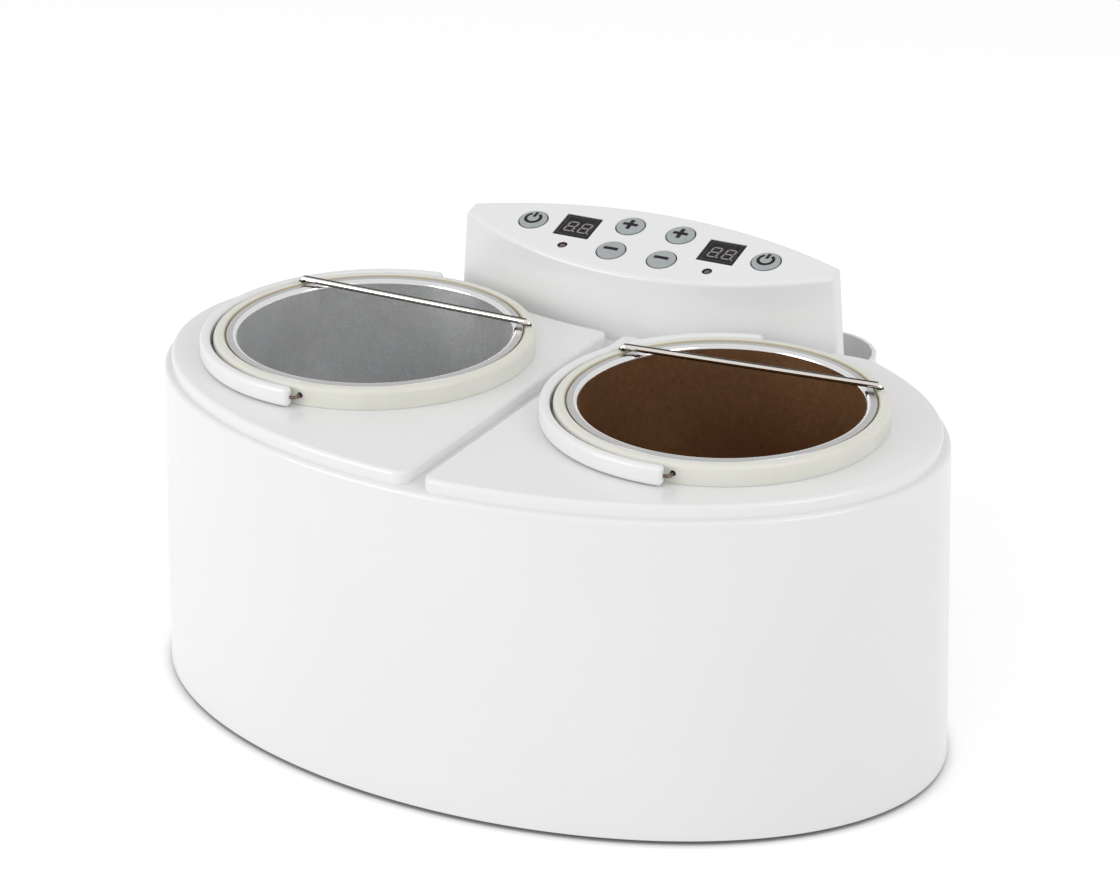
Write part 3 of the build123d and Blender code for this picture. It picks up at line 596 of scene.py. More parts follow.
class Finish:
    """Starts a material and adds the nodes that the finishes share."""

    def __init__(self, name, base, roughness, metallic=0.0):
        self.material = bpy.data.materials.new(name)
        self.material.use_nodes = True
        self.nodes = self.material.node_tree.nodes
        self.links = self.material.node_tree.links
        self.shader = self.nodes["Principled BSDF"]
        self.base = Vector(base)
        self.set(Metallic=metallic, Roughness=roughness)
        self.shader.inputs["Base Color"].default_value = (*base, 1)
        self.place = self.nodes.new("ShaderNodeTexCoord").outputs["Object"]

    def set(self, **values):
        """Sets plain values on the shader's own sockets."""
        for name, value in values.items():
            self.shader.inputs[name.replace("_", " ")].default_value = value

    def stretched(self, scale):
        """Texture places stretched along the three directions."""
        mapping = add_node(self.nodes, "Mapping", Scale=scale)
        self.links.new(self.place, mapping.inputs["Vector"])
        return mapping.outputs["Vector"]

    def noise(self, scale, detail=3.0, place=None):
        """Soft random values between 0 and 1."""
        noise = add_node(self.nodes, "TexNoise", Scale=scale, Detail=detail)
        self.links.new(place or self.place, noise.inputs["Vector"])
        return noise.outputs["Fac"]

    def height(self):
        """Height above the table, in metres."""
        split = add_node(self.nodes, "SeparateXYZ")
        self.links.new(self.place, split.inputs["Vector"])
        return split.outputs["Z"]

    def cells(self, scale, output="Color"):
        """Random values, one for each small cell."""
        cells = add_node(self.nodes, "TexVoronoi", Scale=scale)
        self.links.new(self.place, cells.inputs["Vector"])
        return cells.outputs[output]

    def span(self, value, low, high, from_low=0.3, from_high=0.7):
        """A value spread over a new range."""
        span = add_node(
            self.nodes, "MapRange", From_Min=from_low, From_Max=from_high, To_Min=low, To_Max=high)
        self.links.new(value, span.inputs["Value"])
        return span.outputs["Result"]

    def times(self, first, second, operation="MULTIPLY"):
        """Two values multiplied, or put together in another way."""
        node = add_node(self.nodes, "Math")
        node.operation = operation
        for index, value in enumerate((first, second)):
            if isinstance(value, (int, float)):
                node.inputs[index].default_value = value
            else:
                self.links.new(value, node.inputs[index])
        return node.outputs["Value"]

    def reach(self, centre):
        """Distance from an upright axis, in metres."""
        shifted = add_node(self.nodes, "VectorMath")
        shifted.operation = "SUBTRACT"
        shifted.inputs[1].default_value = (centre[0], centre[1], 0)
        self.links.new(self.place, shifted.inputs[0])
        level = add_node(self.nodes, "VectorMath")
        level.operation = "MULTIPLY"
        level.inputs[1].default_value = (1, 1, 0)
        self.links.new(shifted.outputs["Vector"], level.inputs[0])
        reach = add_node(self.nodes, "VectorMath")
        reach.operation = "LENGTH"
        self.links.new(level.outputs["Vector"], reach.inputs[0])
        return reach.outputs["Value"]

    def rings(self, centre, scale):
        """Fine random rings round an upright axis, as left by turning."""
        noise = add_node(self.nodes, "TexNoise", Scale=scale, Detail=4.0)
        noise.noise_dimensions = "1D"
        self.links.new(self.reach(centre), noise.inputs["W"])
        return noise.outputs["Fac"]

    def tint(self, factor, dark, light):
        """Varies the base colour between a darker and a lighter share of it."""
        ramp = add_node(self.nodes, "ValToRGB")
        ramp.color_ramp.elements[0].position = 0.3
        ramp.color_ramp.elements[1].position = 0.7
        for element, share in zip(ramp.color_ramp.elements, (dark, light)):
            shade = [min(1.0, channel * share) for channel in self.base] if isinstance(
                share, (int, float)) else share
            element.color = (*shade, 1)
        self.links.new(factor, ramp.inputs["Fac"])
        self.links.new(ramp.outputs["Color"], self.shader.inputs["Base Color"])

    def bands(self, factor, stops):
        """Sets the base colour to a share of it at each place along a value."""
        ramp = add_node(self.nodes, "ValToRGB")
        while len(ramp.color_ramp.elements) < len(stops):
            ramp.color_ramp.elements.new(0.5)
        for element, (position, share) in zip(ramp.color_ramp.elements, stops):
            element.position = position
            element.color = (*(self.base * share), 1)
        self.links.new(factor, ramp.inputs["Fac"])
        self.links.new(ramp.outputs["Color"], self.shader.inputs["Base Color"])

    def roughen(self, factor, low, high):
        """Varies the roughness."""
        self.links.new(self.span(factor, low, high), self.shader.inputs["Roughness"])

    def worn(self, clouds, shades, grain, roughness):
        """Clouds the colour, varies the roughness and hands back the material."""
        self.tint(self.noise(*clouds), *shades)
        self.roughen(self.noise(*grain), *roughness)
        return self.material

    def bump(self, height, distance, strength=1.0):
        """Raises the surface by a height."""
        bump = add_node(self.nodes, "Bump", Strength=strength, Distance=distance)
        self.links.new(height, bump.inputs["Height"])
        self.links.new(bump.outputs["Normal"], self.shader.inputs["Normal"])


made_finishes = {}


def shared(build):
    """Makes a finish once and hands out the same material after that."""
    def find(*words):
        key = (build.__name__, *words)
        if key not in made_finishes:
            made_finishes[key] = build(*words)
        return made_finishes[key]
    return find


def colours():
    """The colours that the user has set."""
    return bpy.context.scene.warmer_finish


def shape():
    """The small sizes that the user has set."""
    return bpy.context.scene.warmer_shape


@shared
def glossy_white():
    """Polished white moulding with faint clouding and handling marks."""
    finish = Finish("glossy_white", colours().white, 0.24)
    finish.set(IOR=1.5, Coat_Weight=0.3, Coat_Roughness=0.07)
    return finish.worn(
        clouds=(12.0,), shades=(0.99, 1.006), grain=(30.0, 2.0), roughness=(0.24, 0.27))


@shared
def ivory_nylon(side):
    """Heat-proof ivory moulding, a little translucent, brown beside the pot's lip: part wax stain,
    part painted shade of the gap there.
    """
    place = pot_place(side)
    ledge = collar_radius - COLLAR_WIDTH
    finish = Finish(f"ivory_nylon_{side}", colours().ivory, 0.34)
    finish.set(IOR=1.5, Subsurface_Weight=0.2, Subsurface_Scale=0.004)
    # Part wax stain, part painted shade: the colour turns brown within about a millimetre of the
    # ledge beside the pot's lip.
    clear_of_stain_and_shade = finish.span(
        finish.reach(place.translation), 0.0, 1.0, ledge, ledge + 0.0009)
    cloud = finish.span(finish.noise(40.0, 4.0), 0.66, 0.74)
    finish.tint(finish.times(clear_of_stain_and_shade, cloud), (0.50, 0.44, 0.30), 1.02)
    finish.roughen(finish.noise(160.0, 5.0), 0.28, 0.40)
    finish.bump(finish.noise(900.0, 3.0), 0.00001, 0.2)
    return finish.material


@shared
def spun_aluminium(side):
    """Turned metal with fine rings; its colour is kept darker than the lip's edge, painted shade on
    the lip's flat.
    """
    place = pot_place(side)
    finish = Finish(f"spun_aluminium_{side}", colours().aluminium, 0.26, metallic=1.0)
    rings = finish.rings(place.translation, 1800.0)
    finish.tint(rings, 0.96, 1.03)
    finish.roughen(rings, 0.22, 0.32)
    finish.bump(rings, 0.000004, 0.3)
    return finish.material


@shared
def lip_edge_painted_highlight(side):
    """Smoother metal where a pot's lip turns down, with a painted highlight: a much lighter colour
    than the rest of the lip.
    """
    place = pot_place(side)
    finish = Finish(f"lip_edge_painted_highlight_{side}", colours().edge, 0.12, metallic=1.0)
    rings = finish.rings(place.translation, 1400.0)
    finish.tint(rings, 0.97, 1.02)
    finish.roughen(rings, 0.10, 0.16)
    return finish.material


@shared
def pot_lining(side):
    """Metallic non-stick lining with fine bright flecks, grey on the left and amber on the right."""
    base = colours().coating if side == "left" else colours().amber
    finish = Finish(f"pot_lining_{side}", base, 0.45, metallic=0.75)
    bright = finish.span(finish.cells(2200.0), 0.0, 1.0, 0.5, 0.95)
    cloud = finish.noise(26.0, 4.0)
    mixed = finish.times(finish.times(bright, 0.3), finish.times(cloud, 0.7), "ADD")
    finish.tint(mixed, 0.92, 1.22)
    finish.roughen(finish.noise(420.0, 4.0), 0.38, 0.52)
    finish.bump(finish.noise(1700.0, 3.0), 0.00003, 0.4)
    return finish.material


@shared
def chrome_painted_reflection():
    """Polished plated wire with rub marks along it, with painted reflection: dark bands on its lower
    side and along its top, and a bright band between.
    """
    finish = Finish("chrome_painted_reflection", (0.97, 0.92, 0.86), 0.08, metallic=1.0)
    middle = collar_high.z + BAR_LIFT
    height = finish.span(
        finish.height(), 0.0, 1.0, middle - BAR_RADIUS, middle + BAR_RADIUS)
    # Painted reflection: colour bands by height across the bar, dark on the lower side and along the
    # top, bright between.
    finish.bands(height, (
        (0.0, 0.85), (0.05, 0.06), (0.27, 0.08), (0.46, 1.0), (0.87, 1.0), (0.96, 0.04)))
    finish.roughen(finish.noise(1.0, 5.0, finish.stretched((60, 900, 900))), 0.05, 0.13)
    return finish.material


@shared
def steel_wire():
    """Plain drawn wire, dark brown."""
    finish = Finish("steel_wire", (0.20, 0.15, 0.12), 0.3, metallic=1.0)
    return finish.worn(
        clouds=(260.0, 4.0), shades=(0.75, 1.15), grain=(700.0, 3.0), roughness=(0.22, 0.42))


@shared
def satin_button():
    """Grey painted button with a soft sheen."""
    finish = Finish("satin_button", colours().button, 0.3, metallic=0.15)
    finish.set(Coat_Weight=0.35, Coat_Roughness=0.15)
    finish.bump(finish.noise(2600.0, 2.0), 0.00001, 0.3)
    return finish.worn(
        clouds=(220.0, 4.0), shades=(0.94, 1.05), grain=(500.0, 4.0), roughness=(0.26, 0.38))


@shared
def printed_mark():
    """Matt printed ink."""
    finish = Finish("printed_mark", colours().mark, 0.55)
    finish.set(IOR=1.2)
    return finish.worn(
        clouds=(900.0, 4.0), shades=(0.8, 1.5), grain=(1500.0,), roughness=(0.45, 0.65))


@shared
def smoked_window():
    """Dark window with a fine grid behind it."""
    finish = Finish("smoked_window", colours().window, 0.3)
    finish.set(IOR=1.25)
    finish.tint(finish.cells(650.0), 0.5, 2.0)
    finish.roughen(finish.noise(300.0, 4.0), 0.25, 0.38)
    return finish.material


@shared
def window_frame():
    """Printed frame behind a window."""
    finish = Finish("window_frame", colours().bezel, 0.45)
    finish.set(IOR=1.35)
    return finish.worn(
        clouds=(700.0, 3.0), shades=(0.8, 1.25), grain=(900.0,), roughness=(0.38, 0.52))


@shared
def unlit_segment():
    """Frosted unlit segment of a digit."""
    finish = Finish("unlit_segment", colours().digit, 0.4)
    return finish.worn(
        clouds=(1200.0, 3.0), shades=(0.85, 1.15), grain=(900.0,), roughness=(0.3, 0.5))


@shared
def lamp_lens():
    """Dark red lens of an unlit lamp."""
    finish = Finish("lamp_lens", colours().lamp, 0.12)
    finish.set(Coat_Weight=0.8, Coat_Roughness=0.04)
    return finish.worn(
        clouds=(500.0, 3.0), shades=(0.8, 1.3), grain=(800.0,), roughness=(0.08, 0.2))


@shared
def lamp_ring():
    """Black ring round a lamp's lens."""
    finish = Finish("lamp_ring", (0.012, 0.008, 0.009), 0.3)
    finish.set(IOR=1.2)
    return finish.worn(
        clouds=(900.0, 3.0), shades=(0.8, 1.3), grain=(800.0,), roughness=(0.25, 0.4))


@shared
def moulded(name, base, roughness, metallic=0.0):
    """A plain moulded, pressed or plated finish for the parts inside and below."""
    finish = Finish(name, base, roughness, metallic)
    finish.bump(finish.noise(1400.0, 4.0), 0.00003, 0.4)
    return finish.worn(
        clouds=(120.0, 5.0), shades=(0.85, 1.12), grain=(300.0, 5.0),
        roughness=(0.8 * roughness, 1.2 * roughness))


@shared
def circuit_board():
    """Green board with darker tracks."""
    finish = Finish("circuit_board", (0.03, 0.16, 0.07), 0.35)
    tracks = finish.cells(260.0, "Distance")
    finish.tint(finish.span(tracks, 0.0, 1.0, 0.2, 0.6), (0.015, 0.09, 0.04), (0.05, 0.22, 0.10))
    finish.roughen(finish.noise(200.0), 0.28, 0.42)
    finish.bump(tracks, 0.00003, 0.5)
    return finish.material


@shared
def laminated_core():
    """Stacked iron sheets seen from their edges."""
    finish = Finish("laminated_core", (0.16, 0.16, 0.17), 0.45, metallic=0.7)
    sheets = finish.noise(1.0, 1.0, finish.stretched((10, 1800, 10)))
    finish.tint(sheets, 0.6, 1.3)
    finish.roughen(finish.noise(300.0), 0.35, 0.55)
    finish.bump(sheets, 0.00008, 0.6)
    return finish.material


# Operators

class WARMER_OT_shell(Operator):
    """Builds the oval shell with its rounded rim and foot"""

    bl_idname = "warmer.shell"
    bl_label = "Shell"

    def execute(self, context):
        sizes = shape()
        low, high = shell_low.z, shell_high.z
        under = high - DECK_WALL
        deck_edge = WALL_LEAN + DECK_BAND
        inner_lean = WALL_LEAN * (under - low) / shell_height
        profile = rounded([
            (SHELL_WALL + inner_lean, under, 0), (SHELL_WALL, low, 0),
            (0, low, sizes.foot_round), (WALL_LEAN, high, sizes.rim_round), (deck_edge, high, 0),
        ], closed=False)
        skin = Skin()
        loops = [skin.loop(oval(inset, height)) for inset, height in profile]
        skin.stack(loops)
        skin.cap(loops[0])
        skin.cap(loops[-1])
        shell = skin.as_object("shell_surface")
        cutters = []
        for side in SIDES:
            place = Matrix.Translation(pot_place(side).translation)
            cutters.append(cutter(
                place, circle(DECK_OPENING), under - CUT_OVER, high + CUT_OVER))
        inlet_low, inlet_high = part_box("mains_inlet")
        seat = facing_back(0, inlet_high.y, (inlet_low.z + inlet_high.z) / 2)
        cutters.append(cutter(
            seat, box_outline(*INLET_FLANGE), -INLET_FLANGE_DEPTH, INLET_DEPTH / 2))
        cutters.append(cutter(
            seat, box_outline(*INLET_OPENING), -INLET_DEPTH, INLET_DEPTH / 2))
        combine(shell, cutters)
        finish_piece(shell, "base", [glossy_white()], ["body_shell"])
        return {"FINISHED"}


def plate_outline(sign):
    """Plan of a top plate between the channel, the console and the rim."""
    inset = WALL_LEAN + PLATE_INSET
    wide, deep = half_length - inset, half_depth - inset
    middle = Vector((0, console_low.y - shell_y + CONSOLE_FRONT_RADIUS))
    reach = CONSOLE_FRONT_RADIUS + CONSOLE_GAP
    channel = CHANNEL / 2

    def edge(part):
        angle = -pi / 2 + part * pi
        return Vector((wide * cos(angle), deep * sin(angle)))

    # The rim's curve runs from the channel at the front to where it meets the console
    fine = 900
    rim = [edge(step / fine) for step in range(fine + 1)]
    rim = [point for point in rim if point.x > channel]
    for index, point in enumerate(rim):
        if point.y > 0 and (point - middle).length < reach:
            rim = rim[:index]
            break
    start = Vector((channel, -deep * sqrt(1 - (channel / wide) ** 2)))
    inner_angle = -pi / 2 + channel / reach
    outer_angle = -pi / 2 + (rim[-1] - middle).angle(Vector((0, -1)))
    curve = arc(middle, reach, outer_angle, inner_angle, 200)
    inner = curve[-1]
    line = [inner.lerp(start, step / 60) for step in range(61)]
    curves = [[start, *rim, curve[0]], curve, line]
    outline = joined_outline(curves, PLATE_CORNERS, (110, 44, 30))
    outline = [Vector((point.x, point.y + shell_y)) for point in outline]
    if sign < 0:
        outline = [Vector((-point.x, point.y)) for point in reversed(outline)]
    return outline


class WARMER_OT_top_plates(Operator):
    """Builds the two raised halves of the top"""

    bl_idname = "warmer.top_plates"
    bl_label = "Top plates"

    def execute(self, context):
        round_size = shape().plate_round
        low, high = plate_low.z, plate_high.z
        for side, sign in SIDES.items():
            outline = plate_outline(sign)
            centre = pot_place(side).translation.to_2d()

            def hole(radius, height):
                return flat([
                    centre + (point - centre).normalized() * radius for point in outline], height)

            levels = [flat(shrunk(outline, PLATE_WALL), low)]
            edge = rounded([
                (0, low, 0), (0, high, round_size), (2 * round_size, high, 0)], closed=False)
            levels += [flat(shrunk(outline, inset), height) for inset, height in edge[:-1]]
            levels += [
                hole(PLATE_OPENING + FINE_EDGE, high), hole(PLATE_OPENING, high - FINE_EDGE),
                hole(PLATE_OPENING, low + PLATE_LEDGE), hole(PLATE_SEAT, low + PLATE_LEDGE),
                hole(PLATE_SEAT, high - PLATE_WALL),
                flat(shrunk(outline, PLATE_WALL), high - PLATE_WALL),
            ]
            skin = Skin()
            skin.stack([skin.loop(level) for level in levels], closed=True)
            plate = skin.as_object(f"{side}_plate_surface")
            finish_piece(
                plate, "base", [glossy_white()], [f"{side}_top_plate"])
        return {"FINISHED"}


def console_plan(height, inset):
    """Plan of the console at a height above the deck."""
    part = height / CONSOLE_LEAN_HEIGHT
    shrink = inset + CONSOLE_LEAN * part
    front_radius = CONSOLE_FRONT_RADIUS - shrink
    back_radius = CONSOLE_BACK_RADIUS - shrink
    end = (console_high.x - console_low.x) / 2 - inset - CONSOLE_END_LEAN * part
    front_middle = Vector((0, console_low.y + CONSOLE_FRONT_RADIUS))
    back_middle = Vector((0, console_high.y - CONSOLE_BACK_RADIUS))
    front_reach = Vector((end, -sqrt(front_radius ** 2 - end ** 2)))
    back_reach = Vector((end, sqrt(back_radius ** 2 - end ** 2)))
    front_angle = front_reach.angle(Vector((0, -1)))
    back_angle = back_reach.angle(Vector((0, 1)))
    front = arc(front_middle, front_radius, -pi / 2 - front_angle, -pi / 2 + front_angle, 240)
    back = arc(back_middle, back_radius, pi / 2 - back_angle, pi / 2 + back_angle, 240)
    right = [front[-1].lerp(back[0], step / 40) for step in range(41)]
    left = [back[-1].lerp(front[0], step / 40) for step in range(41)]
    corner = max(FINE_EDGE, CONSOLE_CORNER - inset)
    return joined_outline([front, right, back, left], [corner] * 4, (90, 10, 90, 10), 6)


class WARMER_OT_console(Operator):
    """Builds the console with its tilted face and the openings in it"""

    bl_idname = "warmer.console"
    bl_label = "Console"

    def walls(self, inset, drop, round_size):
        """Loops of the console's walls, from the foot to the tilted face."""
        face = face_place(rise=-drop)
        normal = face.to_3x3() @ UP
        foot = flat(console_plan(0.0, inset), shell_high.z)
        head = flat(
            console_plan(CONSOLE_LEAN_HEIGHT, inset), shell_high.z + CONSOLE_LEAN_HEIGHT)
        levels = [foot]
        edges = []
        for index, (low, high) in enumerate(zip(foot, head)):
            rising = high - low
            meeting = low + rising * (face.translation - low).dot(normal) / rising.dot(normal)
            ahead = foot[(index + 1) % len(foot)] - foot[index - 1]
            wall_normal = ahead.cross(rising).normalized()
            edges.append((meeting, wall_normal))
        steps = 6 if round_size else 0
        for step in range(steps + 1):
            level = []
            for meeting, wall_normal in edges:
                if not round_size:
                    level.append(meeting)
                    continue
                turn = wall_normal.angle(normal)
                middle = meeting - round_size * (wall_normal + normal) / (
                    1 + wall_normal.dot(normal))
                part = step / steps
                outward = (
                    wall_normal * sin((1 - part) * turn) + normal * sin(part * turn)) / sin(turn)
                level.append(middle + outward * round_size)
            levels.append(level)
        return levels

    def execute(self, context):
        skin = Skin()
        outer = [skin.loop(level) for level in self.walls(0.0, 0.0, shape().console_round)]
        inner = [skin.loop(level) for level in self.walls(CONSOLE_WALL, CONSOLE_WALL, 0.0)]
        skin.stack([inner[-1], inner[0], *outer])
        skin.cap(inner[-1])
        skin.cap(outer[-1])
        console = skin.as_object("console_surface")
        depth = (-2 * CONSOLE_WALL, 4 * CUT_OVER)
        cutters = []
        for sign in SIDES.values():
            for x, y in BUTTON_PLACES.values():
                cutters.append(cutter(
                    face_place(sign * x, y), circle(BUTTON_RADIUS + BUTTON_GAP, 96), *depth))
            cutters.append(cutter(
                face_place(sign * DISPLAY_PLACE[0], DISPLAY_PLACE[1]),
                box_outline(DISPLAY_SIZE[0] / 2, DISPLAY_SIZE[1] / 2, DISPLAY_CORNER), *depth))
            cutters.append(cutter(
                face_place(sign * LAMP_PLACE[0], LAMP_PLACE[1]), circle(LAMP_RADIUS, 64), *depth))
        combine(console, cutters)
        finish_piece(console, "base", [glossy_white()], ["console_housing"])
        return {"FINISHED"}


def power_mark():
    """Outlines of a power mark: an open ring and a bar."""
    outside, inside, gap = 0.0045, 0.0029, radians(30)
    half_stroke, half_bar = 0.0008, 0.0022
    turn = 2 * pi - 2 * gap
    ring = arc(Vector((0, 0)), outside, pi / 2 + gap, pi / 2 + gap + turn, 40)
    ring += arc(Vector((0, 0)), inside, pi / 2 + gap + turn, pi / 2 + gap, 40)
    bar = box_outline(half_stroke, half_bar, THIN_EDGE)
    return [ring, [point + Vector((0, inside)) for point in bar]]


def minus_mark():
    """Outline of a minus mark."""
    return [box_outline(MINUS_REACH, MARK_HALF_STROKE, FINE_EDGE)]


def plus_mark():
    """Outline of a plus mark."""
    reach, half = PLUS_REACH, MARK_HALF_STROKE
    quarter = [(reach, -half, FINE_EDGE), (reach, half, FINE_EDGE), (half, half, FINE_EDGE / 2)]
    corners = []
    for turn in range(4):
        spin = Matrix.Rotation(turn * pi / 2, 2)
        for across, up, radius in quarter:
            spot = spin @ Vector((across, up))
            corners.append((spot.x, spot.y, radius))
    return [rounded(corners)]


class WARMER_OT_buttons(Operator):
    """Builds the six domed buttons with their printed marks"""

    bl_idname = "warmer.buttons"
    bl_label = "Buttons"

    def crown(self, raised):
        """Profile of the domed top from its middle outwards, raised by a film's thickness."""
        steps = 12
        dome = shape().button_dome
        return [
            (BUTTON_RADIUS * sqrt(step / steps), BUTTON_RISE + raised - dome * step / steps)
            for step in range(steps - 1)
        ]

    def execute(self, context):
        edge = BUTTON_RISE - shape().button_dome
        marks = {"power": power_mark, "plus": plus_mark, "minus": minus_mark}
        crown = self.crown(0.0)
        cap = BUTTON_RADIUS - BUTTON_EASE
        side_wall = rounded([
            (*crown[-1], 0), (cap, edge, BUTTON_EASE), (cap, BUTTON_FLANGE_TOP, 0)],
            closed=False)
        profile = [
            *crown[:-1], *side_wall, (BUTTON_FLANGE, BUTTON_FLANGE_TOP),
            (BUTTON_FLANGE, BUTTON_FLANGE_LOW), (BUTTON_STEM, BUTTON_FLANGE_LOW),
            (BUTTON_STEM, BUTTON_STEM_LOW), (0, BUTTON_STEM_LOW)]
        film = [*self.crown(INK), (BUTTON_RADIUS, edge - INK), (0, edge - INK)]
        for side, sign in SIDES.items():
            for kind, (x, y) in BUTTON_PLACES.items():
                name = f"{side}_{kind}_button"
                place = face_place(sign * x, y)
                skin = Skin()
                skin.turned(place, profile, steps=96)
                button = skin.as_object(f"{name}_cap")
                finish_piece(button, name, [satin_button()], [name])
                mark = Skin()
                mark_place = place @ Matrix.Translation(MARK_SHIFT)
                for outline in marks[kind]():
                    mark.prism(mark_place, outline, edge - INK / 2, BUTTON_RISE + 2 * INK)
                printed = mark.as_object(f"{side}_{kind}_mark")
                cover = Skin()
                cover.turned(place, film, steps=96)
                combine(printed, [cover.as_object("film")], "INTERSECT")
                finish_piece(printed, name, [printed_mark()])
        return {"FINISHED"}


def digit_outlines(height):
    """Outlines of the seven segments of a digit and its point, round its middle."""
    half_high = height / 2
    half_wide = height * 0.3
    thick = height * 0.055
    gap = height * 0.02
    slant = 0.12
    outlines = []

    def segment(first, second):
        along = (second - first).normalized()
        across = Vector((-along.y, along.x)) * thick
        start = first + along * gap
        end = second - along * gap
        outlines.append([
            start, start + along * thick - across, end - along * thick - across, end,
            end - along * thick + across, start + along * thick + across])

    corners = [
        Vector((across, up)) for up in (-half_high, 0, half_high)
        for across in (-half_wide, half_wide)]
    for first, second in ((0, 1), (2, 3), (4, 5), (0, 2), (1, 3), (2, 4), (3, 5)):
        segment(corners[first], corners[second])
    point_middle = Vector((half_wide + height * 0.13, -half_high))
    outlines.append([point_middle + spot for spot in circle(height * 0.07, 16)])
    return [[Vector((p.x + slant * p.y, p.y)) for p in outline] for outline in outlines]


class WARMER_OT_displays(Operator):
    """Builds the two display windows with their digits"""

    bl_idname = "warmer.displays"
    bl_label = "Displays"

    def execute(self, context):
        half_wide = DISPLAY_SIZE[0] / 2 - DISPLAY_GAP
        half_high = DISPLAY_SIZE[1] / 2 - DISPLAY_GAP
        top = -DISPLAY_SINK
        sunk, proud = top - DISPLAY_SINK / 2, top + DIGIT_RISE
        inner = DISPLAY_FRAME_INSET + DISPLAY_FRAME_WIDTH
        for side, sign in SIDES.items():
            place = face_place(sign * DISPLAY_PLACE[0], DISPLAY_PLACE[1])
            skin = Skin()
            edge = rounded([
                (0, -PART_DEPTH, 0), (0, top, DISPLAY_SINK), (2 * DISPLAY_CORNER, top, 0)],
                closed=False)
            loops = [
                skin.loop([place @ p for p in flat(box_outline(
                    half_wide - inset, half_high - inset, DISPLAY_CORNER), rise)])
                for inset, rise in edge[:-1]]
            skin.solid(loops)
            window = skin.as_object(f"{side}_display_window")
            finish_piece(
                window, "base", [smoked_window()], [f"{side}_display"])
            frame_line = Skin()
            bezel = [
                (DISPLAY_FRAME_INSET, sunk), (DISPLAY_FRAME_INSET, proud),
                (inner, proud), (inner, sunk)]
            frame_line.stack([
                frame_line.loop([place @ p for p in flat(box_outline(
                    half_wide - inset, half_high - inset, THIN_EDGE), rise)])
                for inset, rise in bezel], closed=True)
            border = frame_line.as_object(f"{side}_display_frame")
            finish_piece(border, "base", [window_frame()])
            digits = Skin()
            for x, y in DIGIT_PLACES:
                spot = place @ Matrix.Translation((x, y, 0))
                for outline in digit_outlines(shape().digit_height):
                    digits.prism(spot, outline, sunk, proud)
            shown = digits.as_object(f"{side}_display_digits")
            finish_piece(shown, "base", [unlit_segment()])
        return {"FINISHED"}


class WARMER_OT_lamps(Operator):
    """Builds the two small status lamps"""

    bl_idname = "warmer.lamps"
    bl_label = "Status lamps"

    def execute(self, context):
        outside = LAMP_RADIUS - LAMP_GAP
        dome_steps = 8
        lens_profile = [
            (LAMP_LENS * sin(turn), -LAMP_GAP - LAMP_DOME * (1 - cos(turn)))
            for turn in (pi / 2 * step / dome_steps for step in range(dome_steps + 1))]
        lens_profile += [(LAMP_LENS, -PART_DEPTH), (0, -PART_DEPTH)]
        ring_profile = rounded([
            (LAMP_LENS, -12 * LAMP_GAP, 0), (LAMP_LENS, -4 * LAMP_GAP, LAMP_GAP),
            (outside, -2 * LAMP_GAP, LAMP_GAP), (outside, -12 * LAMP_GAP, 0)])
        for side, sign in SIDES.items():
            place = face_place(sign * LAMP_PLACE[0], LAMP_PLACE[1])
            skin = Skin()
            skin.turned(place, lens_profile, steps=48)
            lamp = skin.as_object(f"{side}_lamp_lens")
            finish_piece(lamp, "base", [lamp_lens()], [f"{side}_status_led"])
            surround = Skin()
            surround.turned(place, ring_profile, closed=True, steps=48)
            ring = surround.as_object(f"{side}_lamp_ring")
            finish_piece(ring, "base", [lamp_ring()])
        return {"FINISHED"}


class WARMER_OT_pots(Operator):
    """Builds the two wax pots with their rolled lips and linings"""

    bl_idname = "warmer.pots"
    bl_label = "Wax pots"

    def execute(self, context):
        lip = pot_high.z
        floor = pot_low.z + POT_WALL
        foot = MOUTH_RADIUS - POT_DRAFT
        under = lip - LIP_THICKNESS
        turn_down = shape().lip_round
        profile = rounded([
            (0, floor, 0), (foot, floor, POT_CORNER), (MOUTH_RADIUS, lip, turn_down),
            (lip_radius, lip, LIP_EDGE), (lip_radius, under, THIN_EDGE),
            (MOUTH_RADIUS + POT_WALL, under, FINE_EDGE),
            (foot + POT_WALL, floor - POT_WALL, POT_CORNER + POT_WALL),
            (0, floor - POT_WALL, 0),
        ], closed=False)
        metal, edge, lining = range(3)
        for side in SIDES:
            skin = Skin()
            skin.turned(pot_place(side), profile, steps=192)
            pot = skin.as_object(f"{side}_pot_surface")
            finish_piece(
                pot, f"{side}_pot",
                [spun_aluminium(side), lip_edge_painted_highlight(side), pot_lining(side)],
                [f"{side}_wax_pot"])
            centre = pot_place(side).translation.xy
            for face in pot.data.polygons:
                outward = face.center.xy - centre
                facing_in = face.normal.xy.dot(outward) < 1e-6 or face.normal.z > 0.5
                if not facing_in or face.center.z < floor - POT_WALL / 2:
                    face.material_index = metal
                elif face.center.z < lip - turn_down:
                    face.material_index = lining
                # Faces round the lip's turn get the painted highlight colour.
                elif outward.length < MOUTH_RADIUS + turn_down:
                    face.material_index = edge
        return {"FINISHED"}


